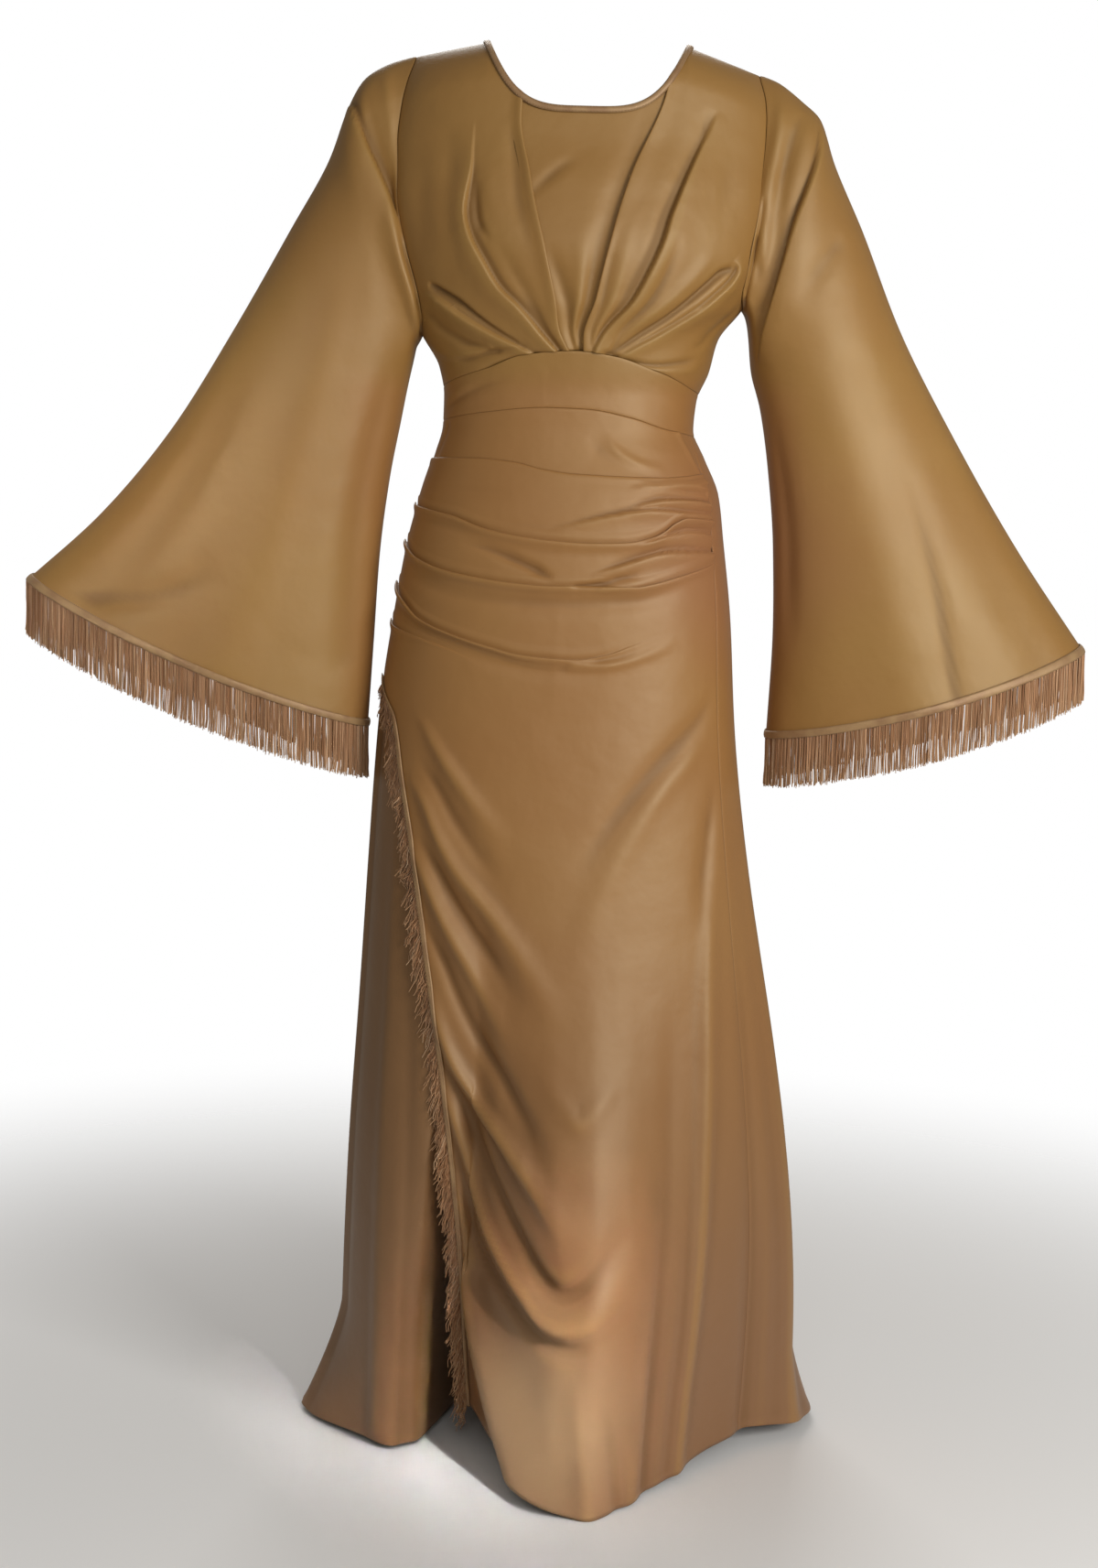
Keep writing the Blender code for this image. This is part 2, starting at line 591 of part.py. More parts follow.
def bodice_front(side):
    """One pleated front, from the side and armhole to the edge of the insert."""
    table = INSERT_LEFT if side < 0 else INSERT_RIGHT
    inner_turn = table[-1].turn
    neck_end = neck_part_at(table[0].turn)
    tip = armhole(0.0, side)[0]
    neck_point = neck_turn_drop(np.float64(side * 90), 0.0, FRONT_NECK_DROP)[0]
    turns = [t for t in FRONT_TURNS if (t <= inner_turn if side < 0 else t >= inner_turn)]
    across = (np.array(turns, float) - turns[0]) / (turns[-1] - turns[0])
    shoulder_share = 0.45 if side < 0 else 0.55

    def top(part):
        if side < 0:
            on_shoulder = part <= shoulder_share
            along = part / shoulder_share
            past_shoulder = np.clip((part - shoulder_share) / (1 - shoulder_share), 0, 1)
            round_neck = -90 + (neck_end + 90) * past_shoulder
            shoulder_turn = tip + (neck_point - tip) * np.clip(along, 0, 1)
        else:
            on_shoulder = part >= shoulder_share
            along = (part - shoulder_share) / (1 - shoulder_share)
            round_neck = neck_end + (90 - neck_end) * np.clip(part / shoulder_share, 0, 1)
            shoulder_turn = neck_point + (tip - neck_point) * np.clip(along, 0, 1)
        neck_turn, neck_drop = neck_turn_drop(round_neck, 0.0, FRONT_NECK_DROP)
        return (np.where(on_shoulder, shoulder_turn, neck_turn), np.where(on_shoulder, 0.0, neck_drop))

    bottom = across_line(BAND_TOP, turns[0], turns[-1])
    inner, outer = insert_edge(table), bodice_side(side)
    left, right = (outer, inner) if side < 0 else (inner, outer)
    folds = LEFT_BODICE_FOLDS if side < 0 else RIGHT_BODICE_FOLDS
    points = shown(patch(bottom, top, left, right, across, bodice_rows()), folds)
    points = split_front_from_back(draw_in(points, SEAM / 2), -1)
    return cloth("bodice_front_left" if side < 0 else "bodice_front_right", points, SATIN)


def bodice_insert():
    """The V insert between the two fronts."""
    low, high = neck_part_at(INSERT_LEFT[0].turn), neck_part_at(INSERT_RIGHT[0].turn)

    def top(part):
        return neck_turn_drop(low + (high - low) * part, 0.0, FRONT_NECK_DROP)

    bottom = across_line(BAND_TOP, INSERT_LEFT[-1].turn, INSERT_RIGHT[-1].turn)
    places = patch(bottom, top, insert_edge(INSERT_LEFT), insert_edge(INSERT_RIGHT), steps(0, 1, 5),
                   bodice_rows())
    points = draw_in(draw_in(shown(places), SEAM / 2, "b"), SEAM, "lr")
    return cloth("bodice_front_centre", split_front_from_back(points, -1), SATIN)


def bodice_back():
    """The back, from side to side, up to the shoulder seams."""
    right_tip, left_tip = armhole(0.0, 1)[0], armhole(0.0, -1)[0]
    right_neck = neck_turn_drop(np.float64(90), 0.0, BACK_NECK_DROP)[0]
    left_neck = neck_turn_drop(np.float64(-90), 0.0, BACK_NECK_DROP)[0]
    shares = (0.0, 0.27, 0.73, 1.0)

    def top(part):
        part = np.asarray(part, float)
        round_neck = 90 - 180 * np.clip((part - shares[1]) / (shares[2] - shares[1]), 0, 1)
        neck_turn, neck_drop = neck_turn_drop(round_neck, 0.0, BACK_NECK_DROP)
        turn = np.interp(part, shares, (180 - right_tip, 180 - right_neck, 180 - left_neck, 180 - left_tip))
        in_neck = (part > shares[1]) & (part < shares[2])
        return np.where(in_neck, 180 - neck_turn, turn), np.where(in_neck, neck_drop, 0.0)

    def side_edge(side):
        front_edge = bodice_side(side)

        def edge(part):
            turn, drop = front_edge(part)
            return 180 - turn, drop
        return edge

    across = np.concatenate([steps(0, shares[1], 4)[:-1], steps(shares[1], shares[2], 9)[:-1],
                             steps(shares[2], 1, 4)])
    bottom = across_line(BAND_TOP, 90, 270)
    places = patch(bottom, top, side_edge(1), side_edge(-1), across, bodice_rows())
    points = shown(places, BACK_BODICE_FOLDS)
    points = split_front_from_back(draw_in(points, SEAM / 2), 1)
    return cloth("bodice_back", points, SATIN)


def neck_binding():
    """The narrow binding round the neck, on the outside of the bodice."""
    rounds = np.concatenate([steps(-90, 90, 21)[:-1], steps(90, 270, 21)[:-1]])
    rows = []
    for widen in (BINDING_WIDTH, BINDING_INSET):
        front = neck_turn_drop(np.clip(rounds, -90, 90), widen, FRONT_NECK_DROP)
        back = neck_turn_drop(np.clip(180 - rounds, -90, 90), widen, BACK_NECK_DROP)
        is_front = rounds <= 90
        turn = np.where(is_front, front[0], 180 - back[0])
        drop = np.where(is_front, front[1], back[1])
        rows.append(shown((turn, drop), raised=LAID_ON + TRIM_WALL + TWIST))
    return cloth("neck_binding", np.array(rows), TRIM, wall=TRIM_WALL, closed=True)


def waistband(name, turns, side):
    """One half of the curved midriff band."""
    across = (np.array(turns, float) - turns[0]) / (turns[-1] - turns[0])
    places = patch(across_line(BAND_BOTTOM, turns[0], turns[-1]), across_line(BAND_TOP, turns[0], turns[-1]),
                   upright_line(turns[0], *band_heights(turns[0])),
                   upright_line(turns[-1], *band_heights(turns[-1])),
                   across, steps(0, 1, 3))
    points = split_front_from_back(draw_in(shown(places), SEAM / 2), side)
    return cloth(name, points, SATIN)


def band_heights(turn):
    """The band's lower and upper edge at one turn."""
    return (float(through(column(BAND_BOTTOM, "turn"), column(BAND_BOTTOM, "height"), turn)),
            float(through(column(BAND_TOP, "turn"), column(BAND_TOP, "height"), turn)))


def wrap_across():
    """Where the columns of the yoke and the wrap front lie, as parts of their width."""
    turns = [t for t in FRONT_TURNS if t <= RIGHT_SEAM[0].turn]
    parts = (np.array(turns, float) - turns[0]) / (turns[-1] - turns[0])
    return np.insert(parts, 1, EDGE_COLUMN)


def skirt_yoke():
    """The plain yoke between the band and the first pleat."""
    top_turn, low_turn = RIGHT_SEAM[0].turn, RIGHT_SEAM[1].turn
    low_left, high_left = WRAP_TOP[0].height, BAND_BOTTOM[0].height
    low_right = RIGHT_SEAM[1].height
    high_right = band_heights(top_turn)[0]
    places = patch(across_line(WRAP_TOP, -90, low_turn), across_line(BAND_BOTTOM, -90, top_turn),
                   upright_line(-90, low_left, high_left),
                   down_line(RIGHT_SEAM, low_right, high_right), wrap_across(), steps(0, 1, 3))
    points = split_front_from_back(draw_in(shown(places), SEAM / 2), -1)
    return cloth("skirt_yoke_front", points, SATIN)


def pleat_line(pleat, turn):
    return through(PLEAT_TURNS, pleat.heights, turn), through(PLEAT_TURNS, pleat.depths, turn)


def wrap_front():
    """The wrap front: pleated from seam to seam over the hips, open along the slit, down to the hem."""
    across = wrap_across()
    top_turns = -90 + (RIGHT_SEAM[1].turn + 90) * across
    heights, outs = [], []
    level = through(column(WRAP_TOP, "turn"), column(WRAP_TOP, "height"), top_turns)
    stood = np.full_like(level, WRAP_STANDS)
    heights.append(level)
    outs.append(stood)
    for pleat in PLEATS:
        line, depth = pleat_line(pleat, top_turns)
        heights.append(line + PLEAT_STEP / 2)
        outs.append(np.minimum(stood / 10, PLEAT_FOOT))
        heights.append(line - PLEAT_STEP / 2)
        outs.append(depth)
        level, stood = line - PLEAT_STEP / 2, depth
    hip_heights, hip_outs = np.array(heights), np.array(outs)
    hip_turns = np.broadcast_to(top_turns, hip_heights.shape).copy()
    right_turns = through(column(RIGHT_SEAM, "height"), column(RIGHT_SEAM, "turn"), hip_heights[:, -1])
    hip_turns += (right_turns - top_turns[-1])[:, None] * across ** 2

    low_turns, low_heights = [], []
    hem_left, hem_right = SLIT[-1].turn, RIGHT_SEAM[-1].turn
    first = hip_heights[-1]
    for part in steps(0, 1, LOW_ROWS + 1)[1:]:
        slit_height = first[0] + (SLIT[-1].height - first[0]) * part
        left = float(through(column(SLIT, "height"), column(SLIT, "turn"), slit_height))
        hem_turns = hem_left + (hem_right - hem_left) * across
        hem_heights = through(column(HEM_LINE, "turn"), column(HEM_LINE, "height"), hem_turns)
        height = first + (hem_heights - first) * part
        right = float(through(column(RIGHT_SEAM, "height"), column(RIGHT_SEAM, "turn"), height[-1]))
        low_turns.append(left + (right - left) * across)
        low_heights.append(height)
    turn = np.vstack([hip_turns, np.array(low_turns)])[::-1]
    height = np.vstack([hip_heights, np.array(low_heights)])[::-1]
    low_outs = np.array([hip_outs[-1] * LAST_PLEAT_FADES * (1 - part) for part in steps(0, 1, LOW_ROWS)])
    out = np.vstack([hip_outs, low_outs])[::-1]
    points = shown((turn, ring_drop(height)), WRAP_FOLDS, raised=out)
    points = split_front_from_back(draw_in(points, SEAM / 2), -1)
    cloth("skirt_front_drape", points, SATIN)
    return points


def under_front():
    """The under layer that shows in the slit: flush at the side seam, then inside the wrap front."""
    u, v = np.meshgrid(steps(0, 1, 9), steps(0, 1, 15))
    height = UNDER_HEM_HEIGHT + (UNDER_LAYER_TOP - UNDER_HEM_HEIGHT) * v
    slit = through(column(SLIT, "height"), column(SLIT, "turn"), height)
    turn = -90 + (np.minimum(slit + UNDER_LAYER_PAST, UNDER_LAYER_ENDS) + 90) * u
    inside = UNDER_LAYER * ease((turn + 90) / UNDER_LAYER_TURNS)
    points = shown((turn, ring_drop(height)), UNDER_FOLDS, hem=UNDER_HEM, sunk=inside)
    points = split_front_from_back(draw_in(points, SIDE_SEAM_ROOM, "l"), -1)
    return cloth("skirt_under_front", points, SATIN_DARK)


def skirt_back():
    """The back skirt, from the right seam round the back to the left side seam."""
    columns = 18
    u, v = np.meshgrid(steps(0, 1, columns), steps(0, 1, 17))
    top_turn = RIGHT_SEAM[0].turn + (270 - RIGHT_SEAM[0].turn) * u
    top_height = through(column(BAND_BOTTOM, "turn"), column(BAND_BOTTOM, "height"), top_turn)
    low_turn = RIGHT_SEAM[-1].turn + (270 - RIGHT_SEAM[-1].turn) * u
    low_height = through(column(HEM_LINE, "turn"), column(HEM_LINE, "height"), low_turn)
    height = low_height + (top_height - low_height) * v
    seam = through(column(RIGHT_SEAM, "height"), column(RIGHT_SEAM, "turn"), height[:, 0])[:, None]
    turn = seam + (270 - seam) * u
    points = shown((turn, ring_drop(height)), BACK_FOLDS)
    points = draw_in(points, SEAM / 2)
    left_half = np.s_[:, columns // 2:]
    points[left_half] = split_front_from_back(points[left_half], 1)
    return cloth("skirt_back", points, SATIN)


def slit_trims(wrap):
    """The fringe heading on the wrap front's open edge, and the fringe that hangs from it."""
    edge, inner = wrap[:LOW_ROWS - 1, 0], wrap[:LOW_ROWS - 1, 1]
    aside = inner - edge
    aside /= np.linalg.norm(aside, axis=-1, keepdims=True)
    outward = np.cross(aside, np.gradient(edge, axis=0))
    outward /= np.linalg.norm(outward, axis=-1, keepdims=True)

    heading = np.stack([edge, inner], 1) + outward[:, None] * (LAID_ON + TRIM_WALL + TWIST)
    cloth("slit_band", heading, TRIM, wall=TRIM_WALL)
    strands = [edge + aside * place + outward * FRINGE_WALL / 2 for place in steps(-SLIT_FRINGE, -SEAM, 3)]
    cloth("slit_fringe", np.array(strands).transpose(1, 0, 2), STRANDS, wall=FRINGE_WALL, roughness=0.6)


def sleeve_ring(round_arm, along, sections, side):
    """Points of a sleeve: 0 is its outer edge, 90 its front, 180 its inner edge and 270 its back."""
    places = column(sections, "along")
    outer_x, outer_z, inner_x, inner_z, front, back, sag = (
        through(places, column(sections, key), along)
        for key in ("outer_x", "outer_z", "inner_x", "inner_z", "front", "back", "sag"))
    angle = np.radians(round_arm)
    cosine, sine = np.cos(angle), np.sin(angle)
    x = (outer_x + inner_x) / 2 + cosine * (outer_x - inner_x) / 2
    z = (outer_z + inner_z) / 2 + cosine * (outer_z - inner_z) / 2
    y = -sine * np.where(sine > 0, front, back)
    chord = np.stack([outer_x - inner_x, outer_z - inner_z], -1)
    chord = chord / np.linalg.norm(chord, axis=-1, keepdims=True)
    x = x + side * sag * sine ** 2 * np.abs(chord[..., 1])
    z = z - sag * sine ** 2 * np.abs(chord[..., 0])
    return np.stack([x, y, z], -1)


def armhole_ring(round_arm, side):
    """The armhole's whole edge: the front half, then its mirror image at the back."""
    is_front = round_arm <= 180
    halfway = np.where(is_front, round_arm, 360 - round_arm)
    turn, drop = armhole(halfway, side)
    points = form(np.where(is_front, turn, 180 - turn), drop)
    points[..., 0] += side * (ARMHOLE_ROOM + UNDERARM_ROOM * (1 - np.cos(np.radians(halfway))) / 2)
    return points


def sleeve(side):
    """A bell sleeve with its fringe heading and its fringe."""
    sections = LEFT_SLEEVE if side < 0 else RIGHT_SLEEVE
    folds = LEFT_SLEEVE_FOLDS if side < 0 else RIGHT_SLEEVE_FOLDS
    word = "left" if side < 0 else "right"
    arm = np.array(list(ARM_STEPS)[::-1] + [360 - a for a in ARM_STEPS[1:-1]], float)
    all_round = np.append(arm, 360)
    at_armhole = armhole_ring(arm, side) - sleeve_ring(arm, np.zeros_like(arm), sections, side)

    def place(round_arm, along):
        eased = (1 - ease(along / ARMHOLE_REACH))[..., None]
        wrapped = np.mod(round_arm, 360)
        offset = np.stack([np.interp(wrapped, all_round, np.append(shift, shift[0]))
                           for shift in at_armhole.T], -1)
        return sleeve_ring(wrapped, along, sections, side) + offset * eased

    def outward(round_arm, along):
        first = place(round_arm + 1.0, along) - place(round_arm - 1.0, along)
        back = np.maximum(along - SLEEVE_DIFFERENCE, 0)
        second = place(round_arm, along + SLEEVE_DIFFERENCE) - place(round_arm, back)
        normal = np.cross(second, first) * -side
        return normal / np.linalg.norm(normal, axis=-1, keepdims=True)

    round_arm, along = np.meshgrid(arm, np.array(SLEEVE_STEPS, float))
    points = place(round_arm, along)
    out = folded(points, place, folds, lambda value: value) * ease(along / SLEEVE_STEPS[2])
    points = points + outward(round_arm, along) * out[..., None]
    cloth("sleeve_" + word, points, SATIN, closed=True, flip=side > 0)

    rim = points[-1]
    up = points[-2] - points[-1]
    up /= np.linalg.norm(up, axis=-1, keepdims=True)
    proud = outward(arm, np.ones_like(arm))
    lift = LAID_ON + TRIM_WALL + TWIST
    band = np.array([rim + up * CUFF_BAND * share + proud * lift for share in (1, 0)])
    cloth("cuff_band_" + word, band, TRIM, wall=TRIM_WALL, closed=True, flip=side > 0)

    reach = CUFF_FRINGE_LEFT if side < 0 else CUFF_FRINGE_RIGHT
    top = rim - up * CUFF_ROOM + proud * FRINGE_WALL / 2
    hang = np.array([top + np.array([0, 0, -reach * share]) for share in (0, 1)])
    cloth("cuff_fringe_" + word, hang, STRANDS, wall=FRINGE_WALL, closed=True, flip=side > 0, roughness=0.6)


def clear_scene():
    for thing in list(bpy.data.objects):
        bpy.data.objects.remove(thing, do_unlink=True)
    collection = bpy.data.collections.new(COLLECTION)
    bpy.context.scene.collection.children.link(collection)


def main():
    clear_scene()
    bodice_back()
    bodice_insert()
    for side in (-1, 1):
        bodice_front(side)
    neck_binding()
    waistband("waistband_front", FRONT_TURNS, -1)
    waistband("waistband_back", BACK_TURNS, 1)
    skirt_yoke()
    slit_trims(wrap_front())
    under_front()
    skirt_back()
    for side in (-1, 1):
        sleeve(side)


main()
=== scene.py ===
import math

import bpy
import numpy as np
from mathutils import Matrix, Vector


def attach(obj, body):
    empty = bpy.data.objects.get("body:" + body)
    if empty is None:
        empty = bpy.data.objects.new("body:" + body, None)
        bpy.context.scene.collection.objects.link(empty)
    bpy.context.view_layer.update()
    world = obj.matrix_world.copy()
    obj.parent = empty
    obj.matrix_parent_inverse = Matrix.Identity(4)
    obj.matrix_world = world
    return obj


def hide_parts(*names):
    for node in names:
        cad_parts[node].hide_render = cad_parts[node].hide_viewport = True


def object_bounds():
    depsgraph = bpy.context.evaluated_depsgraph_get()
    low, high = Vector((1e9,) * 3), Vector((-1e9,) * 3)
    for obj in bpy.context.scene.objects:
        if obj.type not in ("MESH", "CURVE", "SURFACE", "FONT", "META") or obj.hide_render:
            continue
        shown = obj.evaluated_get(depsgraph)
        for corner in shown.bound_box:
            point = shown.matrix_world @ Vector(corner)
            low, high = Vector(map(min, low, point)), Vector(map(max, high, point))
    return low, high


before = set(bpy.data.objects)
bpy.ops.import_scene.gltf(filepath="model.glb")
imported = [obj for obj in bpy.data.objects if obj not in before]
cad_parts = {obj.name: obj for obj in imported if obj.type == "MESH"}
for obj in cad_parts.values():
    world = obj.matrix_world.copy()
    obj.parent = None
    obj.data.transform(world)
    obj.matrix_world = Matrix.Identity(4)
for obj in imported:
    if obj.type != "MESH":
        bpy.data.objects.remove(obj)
cadBox = [list(corner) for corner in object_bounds()]
print("frame loaded")

# Lengths are metres, and the front of the dress faces -Y. A place on the worn form is a turn in degrees
# from the centre front and a ring's height or its drop, which is measured along the cloth from the top.
# Folds and pleats are given in millimetres.
wornForm = {
    "height": [0, -.030, -.060, -.100, -.160, -.220, -.270, -.305, -.340, -.370, -.400, -.430, -.470, -.520,
               -.600, -.720, -.880, -1.05, -1.21, -1.385, -1.525],
    "left": [.182, .196, .205, .211, .212, .201, .182, .167, .147, .1415, .142, .1495, .163, .177,
             .191, .207, .216, .222, .2285, .233, .240],
    "right": [.192, .204, .209, .211, .209, .199, .178, .152, .143, .131, .1285, .141, .158, .165,
              .175, .184, .203, .225, .242, .262, .280],
    "front": [.085, .085, .088, .094, .110, .120, .114, .105, .098, .094, .094, .098, .107, .115,
              .122, .128, .140, .160, .185, .215, .245],
    "back": [.085, .088, .094, .101, .106, .105, .099, .094, .090, .087, .088, .094, .106, .119,
             .128, .130, .140, .158, .180, .205, .228],
    "squareness": .07,
    "shoulderRoll": .05,
    "slopeLeft": .20,
    "slopeRight": .345,
    "slopeEnds": .20,
    "neckCentre": .0046,
    "neckHalfWidth": .104,
    "hemStarts": -.72,
    "hemHeight": -1.525,
    "hemEase": 1.7,
    "kickEase": 1.35,
}
hemPlan = {
    "turn": [-90, -60, -35, -22, -15, -8, 0, 7, 14, 22, 32, 44, 62, 80, 98, 118, 138, 158, 180, 202, 222,
             242, 258, 270],
    "across": [-.242, -.200, -.130, -.092, -.062, -.027, .008, .042, .084, .124, .168, .212, .256, .276,
               .268, .232, .178, .104, .020, -.060, -.130, -.190, -.228, -.242],
    "deep": [.030, -.060, -.070, -.065, -.140, -.205, -.244, -.254, -.228, -.172, -.112, -.066, -.020,
             .040, .105, .150, .205, .205, .240, .210, .215, .165, .105, .030],
}
underHemPlan = {
    "turn": [-90, -75, -60, -45, -36, -28, -21, -10],
    "across": [-.242, -.235, -.208, -.170, -.143, -.122, -.100, -.080],
    "deep": [.030, -.020, -.070, -.102, -.085, -.025, .050, .085],
}
hemKicks = [  # where the hem breaks on the floor: turn, spread, how far out, how far up it starts
    (-88, 17, .048, .135), (84, 20, .030, .100), (136, 16, .024, .150), (186, 18, .022, .140),
    (232, 15, .026, .120),
]
bandTop = {
    "turn": [-90, -72, -38, -19, 2, 16, 34, 70, 90, 180, 270],
    "height": [-.361, -.357, -.343, -.3285, -.3235, -.328, -.341, -.360, -.363, -.352, -.361],
}
bandBottom = {
    "turn": [-90, -72, -39, -8, 8, 26, 50, 90, 180, 270],
    "height": [-.397, -.395, -.388, -.382, -.383, -.390, -.402, -.408, -.400, -.397],
}
wrapTop = {
    "turn": [-90, -39, -22, -10, 2, 33, 66],
    "height": [-.437, -.436, -.439, -.446, -.450, -.452, -.447],
}
hemLine = {
    "turn": [-90, -60, -40, -22, -14, -4, 7, 20, 34, 48, 70, 90, 180, 270],
    "height": [-1.516, -1.510, -1.512, -1.478, -1.490, -1.513, -1.525, -1.517, -1.506, -1.502, -1.511,
               -1.516, -1.520, -1.516],
}
rightSeam = {
    "height": [-.406, -.448, -.550, -.650, -.800, -1.00, -1.20, -1.40, -1.525],
    "turn": [72, 66, 64, 62, 60, 56, 52, 47, 44],
}
slitLine = {
    "height": [-.640, -.671, -.713, -.775, -.833, -.886, -.954, -1.046, -1.165, -1.297, -1.400, -1.478],
    "turn": [-90, -84, -62, -54, -48, -44, -40, -35, -30, -26, -24, -22],
}
armholeLine = {
    "roundArm": [0, 30, 60, 90, 120, 150, 165, 180],
    "turn": [77, 71, 66, 63, 62.5, 68, 77, 90],
}
underarm = {-1: -.306, 1: -.272}
insertLeft = {
    "height": [-.066, -.094, -.143, -.208, -.264, -.300, -.3235],
    "turn": [-16.5, -16, -13, -9.5, -6.5, -3.5, -1],
}
insertRight = {
    "height": [-.050, -.065, -.138, -.200, -.246, -.300, -.3235],
    "turn": [23, 22, 14, 9.5, 7, 5, 4],
}
neckline = {"frontDrop": .0745, "backDrop": .066, "roundness": 3.8}
clothWall = .0008
seamGap = .00012


def ease(value):
    value = np.clip(value, 0.0, 1.0)
    return value * value * (3.0 - 2.0 * value)


def through(known, values, at):  # a smooth curve through known values that never overshoots them
    known, values = np.asarray(known, float), np.asarray(values, float)
    if known[0] > known[-1]:
        known, values = known[::-1], values[::-1]
    gaps = np.diff(known)
    rates = np.diff(values) / gaps
    slopes = np.zeros_like(known)
    before, after = rates[:-1], rates[1:]
    together = np.where(before * after > 0, before + after, 1.0)
    slopes[1:-1] = np.where(before * after > 0, 2.0 * before * after / together, 0.0)
    slopes[0], slopes[-1] = rates[0], rates[-1]
    at = np.clip(at, known[0], known[-1])
    cell = np.clip(np.searchsorted(known, at) - 1, 0, len(gaps) - 1)
    part = (at - known[cell]) / gaps[cell]
    return (values[cell] * (1 + 2 * part) * (1 - part) ** 2
            + values[cell + 1] * part * part * (3 - 2 * part)
            + gaps[cell] * slopes[cell] * part * (1 - part) ** 2
            + gaps[cell] * slopes[cell + 1] * part * part * (part - 1))


def follow(table, key, value, at):
    return through(table[key], table[value], at)


def ringHeight(drop):
    roll = wornForm["shoulderRoll"]
    turned = np.minimum(drop / roll, math.pi / 2)
    return -roll * (1 - np.cos(turned)) - np.maximum(drop - roll * math.pi / 2, 0.0)


def ringDrop(height):
    roll = wornForm["shoulderRoll"]
    height = np.asarray(height, float)
    return roll * np.arccos(np.clip(1 + height / roll, 0.0, 1.0)) + np.maximum(-height - roll, 0.0)


def wornPlace(turn, drop, hem=hemPlan):  # a place on the worn form
    turn, drop = np.broadcast_arrays(np.asarray(turn, float), np.asarray(drop, float))
    height = ringHeight(drop)
    left, right, front, back = (follow(wornForm, "height", side, height)
                                for side in ("left", "right", "front", "back"))
    angle = np.radians(turn)
    sine, cosine = np.sin(angle), np.cos(angle)
    rolled = np.sin(np.minimum(drop / wornForm["shoulderRoll"], math.pi / 2))
    square = wornForm["squareness"]
    x = (right - left) / 2 + (left + right) / 2 * sine * (1 + square * cosine ** 2)
    y = -np.where(cosine > 0, front, back) * rolled * cosine * (1 + square * sine ** 2)

    starts, ends = wornForm["hemStarts"], wornForm["hemHeight"]
    turnedIn = ease((starts - height) / (starts - ends)) ** wornForm["hemEase"]
    x = x + turnedIn * (follow(hem, "turn", "across", turn) - x)
    y = y + turnedIn * (follow(hem, "turn", "deep", turn) - y)

    offCentre = x - wornForm["neckCentre"]
    slope = np.where(offCentre < 0, wornForm["slopeLeft"], wornForm["slopeRight"])
    pastNeck = np.maximum(np.abs(offCentre) - wornForm["neckHalfWidth"], 0.0)
    z = height - ease(1 + height / wornForm["slopeEnds"]) * pastNeck * slope
    for kickTurn, spread, reach, rise in hemKicks:
        away = np.min([np.abs(turn - kickTurn), np.abs(turn - 360 - kickTurn),
                       np.abs(turn + 360 - kickTurn)], axis=0)
        low = np.clip((ends + rise - height) / rise, 0, 1) ** wornForm["kickEase"]
        out = reach * np.exp(-(away / spread) ** 2) * low
        x = x + out * sine
        y = y - out * cosine
    return np.stack([x, y, z], -1)


def outwardOf(place, first, second, firstStep=.4, secondStep=.0008):
    across = place(first + firstStep, second) - place(first - firstStep, second)
    along = place(first, second + secondStep) - place(first, np.maximum(second - secondStep, 0.0))
    outward = np.cross(along, across)
    return outward / np.linalg.norm(outward, axis=-1, keepdims=True)


def smoothLine(points, count):  # a smooth line through given points
    points = np.array(points, float)
    ends = np.vstack([2 * points[0] - points[1], points, 2 * points[-1] - points[-2]])
    at = np.linspace(0, len(points) - 1, count)
    cell = np.minimum(at.astype(int), len(points) - 2)
    t = (at - cell)[:, None]
    a, b, c, d = (ends[cell + k] for k in range(4))
    return (2 * b + (c - a) * t + (2 * a - 5 * b + 4 * c - d) * t ** 2
            + (3 * b - a - 3 * c + d) * t ** 3) / 2


def fold(turns, places, outs, widths, lean=0.0):
    # a soft ridge, or a trough where outs is negative. places are heights, or thousandths down a sleeve.
    # outs and widths run evenly along the line, and a lean makes its right side, looking along it, steeper
    return {"line": list(zip(turns, np.array(places) / 1000)), "out": np.array(outs) / 1000,
            "width": np.array(widths) / 1000, "lean": lean}


def pleat(turns, places, high, low, back, foot, side):
    # cloth laid over cloth: a rolled lip stands on one side of the line, and the cloth goes in under it on
    # the other. side is 1 where the lip is on the line's left, looking along it from outside
    given = {"high": high, "low": low, "back": back, "foot": foot}
    return {"line": list(zip(turns, np.array(places) / 1000)), "side": side, "lean": 0.0,
            "width": np.array([max(back)]) / 1000,
            **{key: np.array(values) / 1000 for key, values in given.items()}}


def pleatHeight(one, at, away):
    high, low, back, foot = (np.interp(at, np.linspace(0, 1, len(one[key])), one[key])
                             for key in ("high", "low", "back", "foot"))
    roll = .0011 + .0006 * high / .005
    over = ease(away / roll / 2 + .5)
    return (high * np.exp(-(np.maximum(away - roll, 0) / back) ** 2) * over
            - low * np.exp(-(np.minimum(away, 0) / foot) ** 2) * (1 - over))


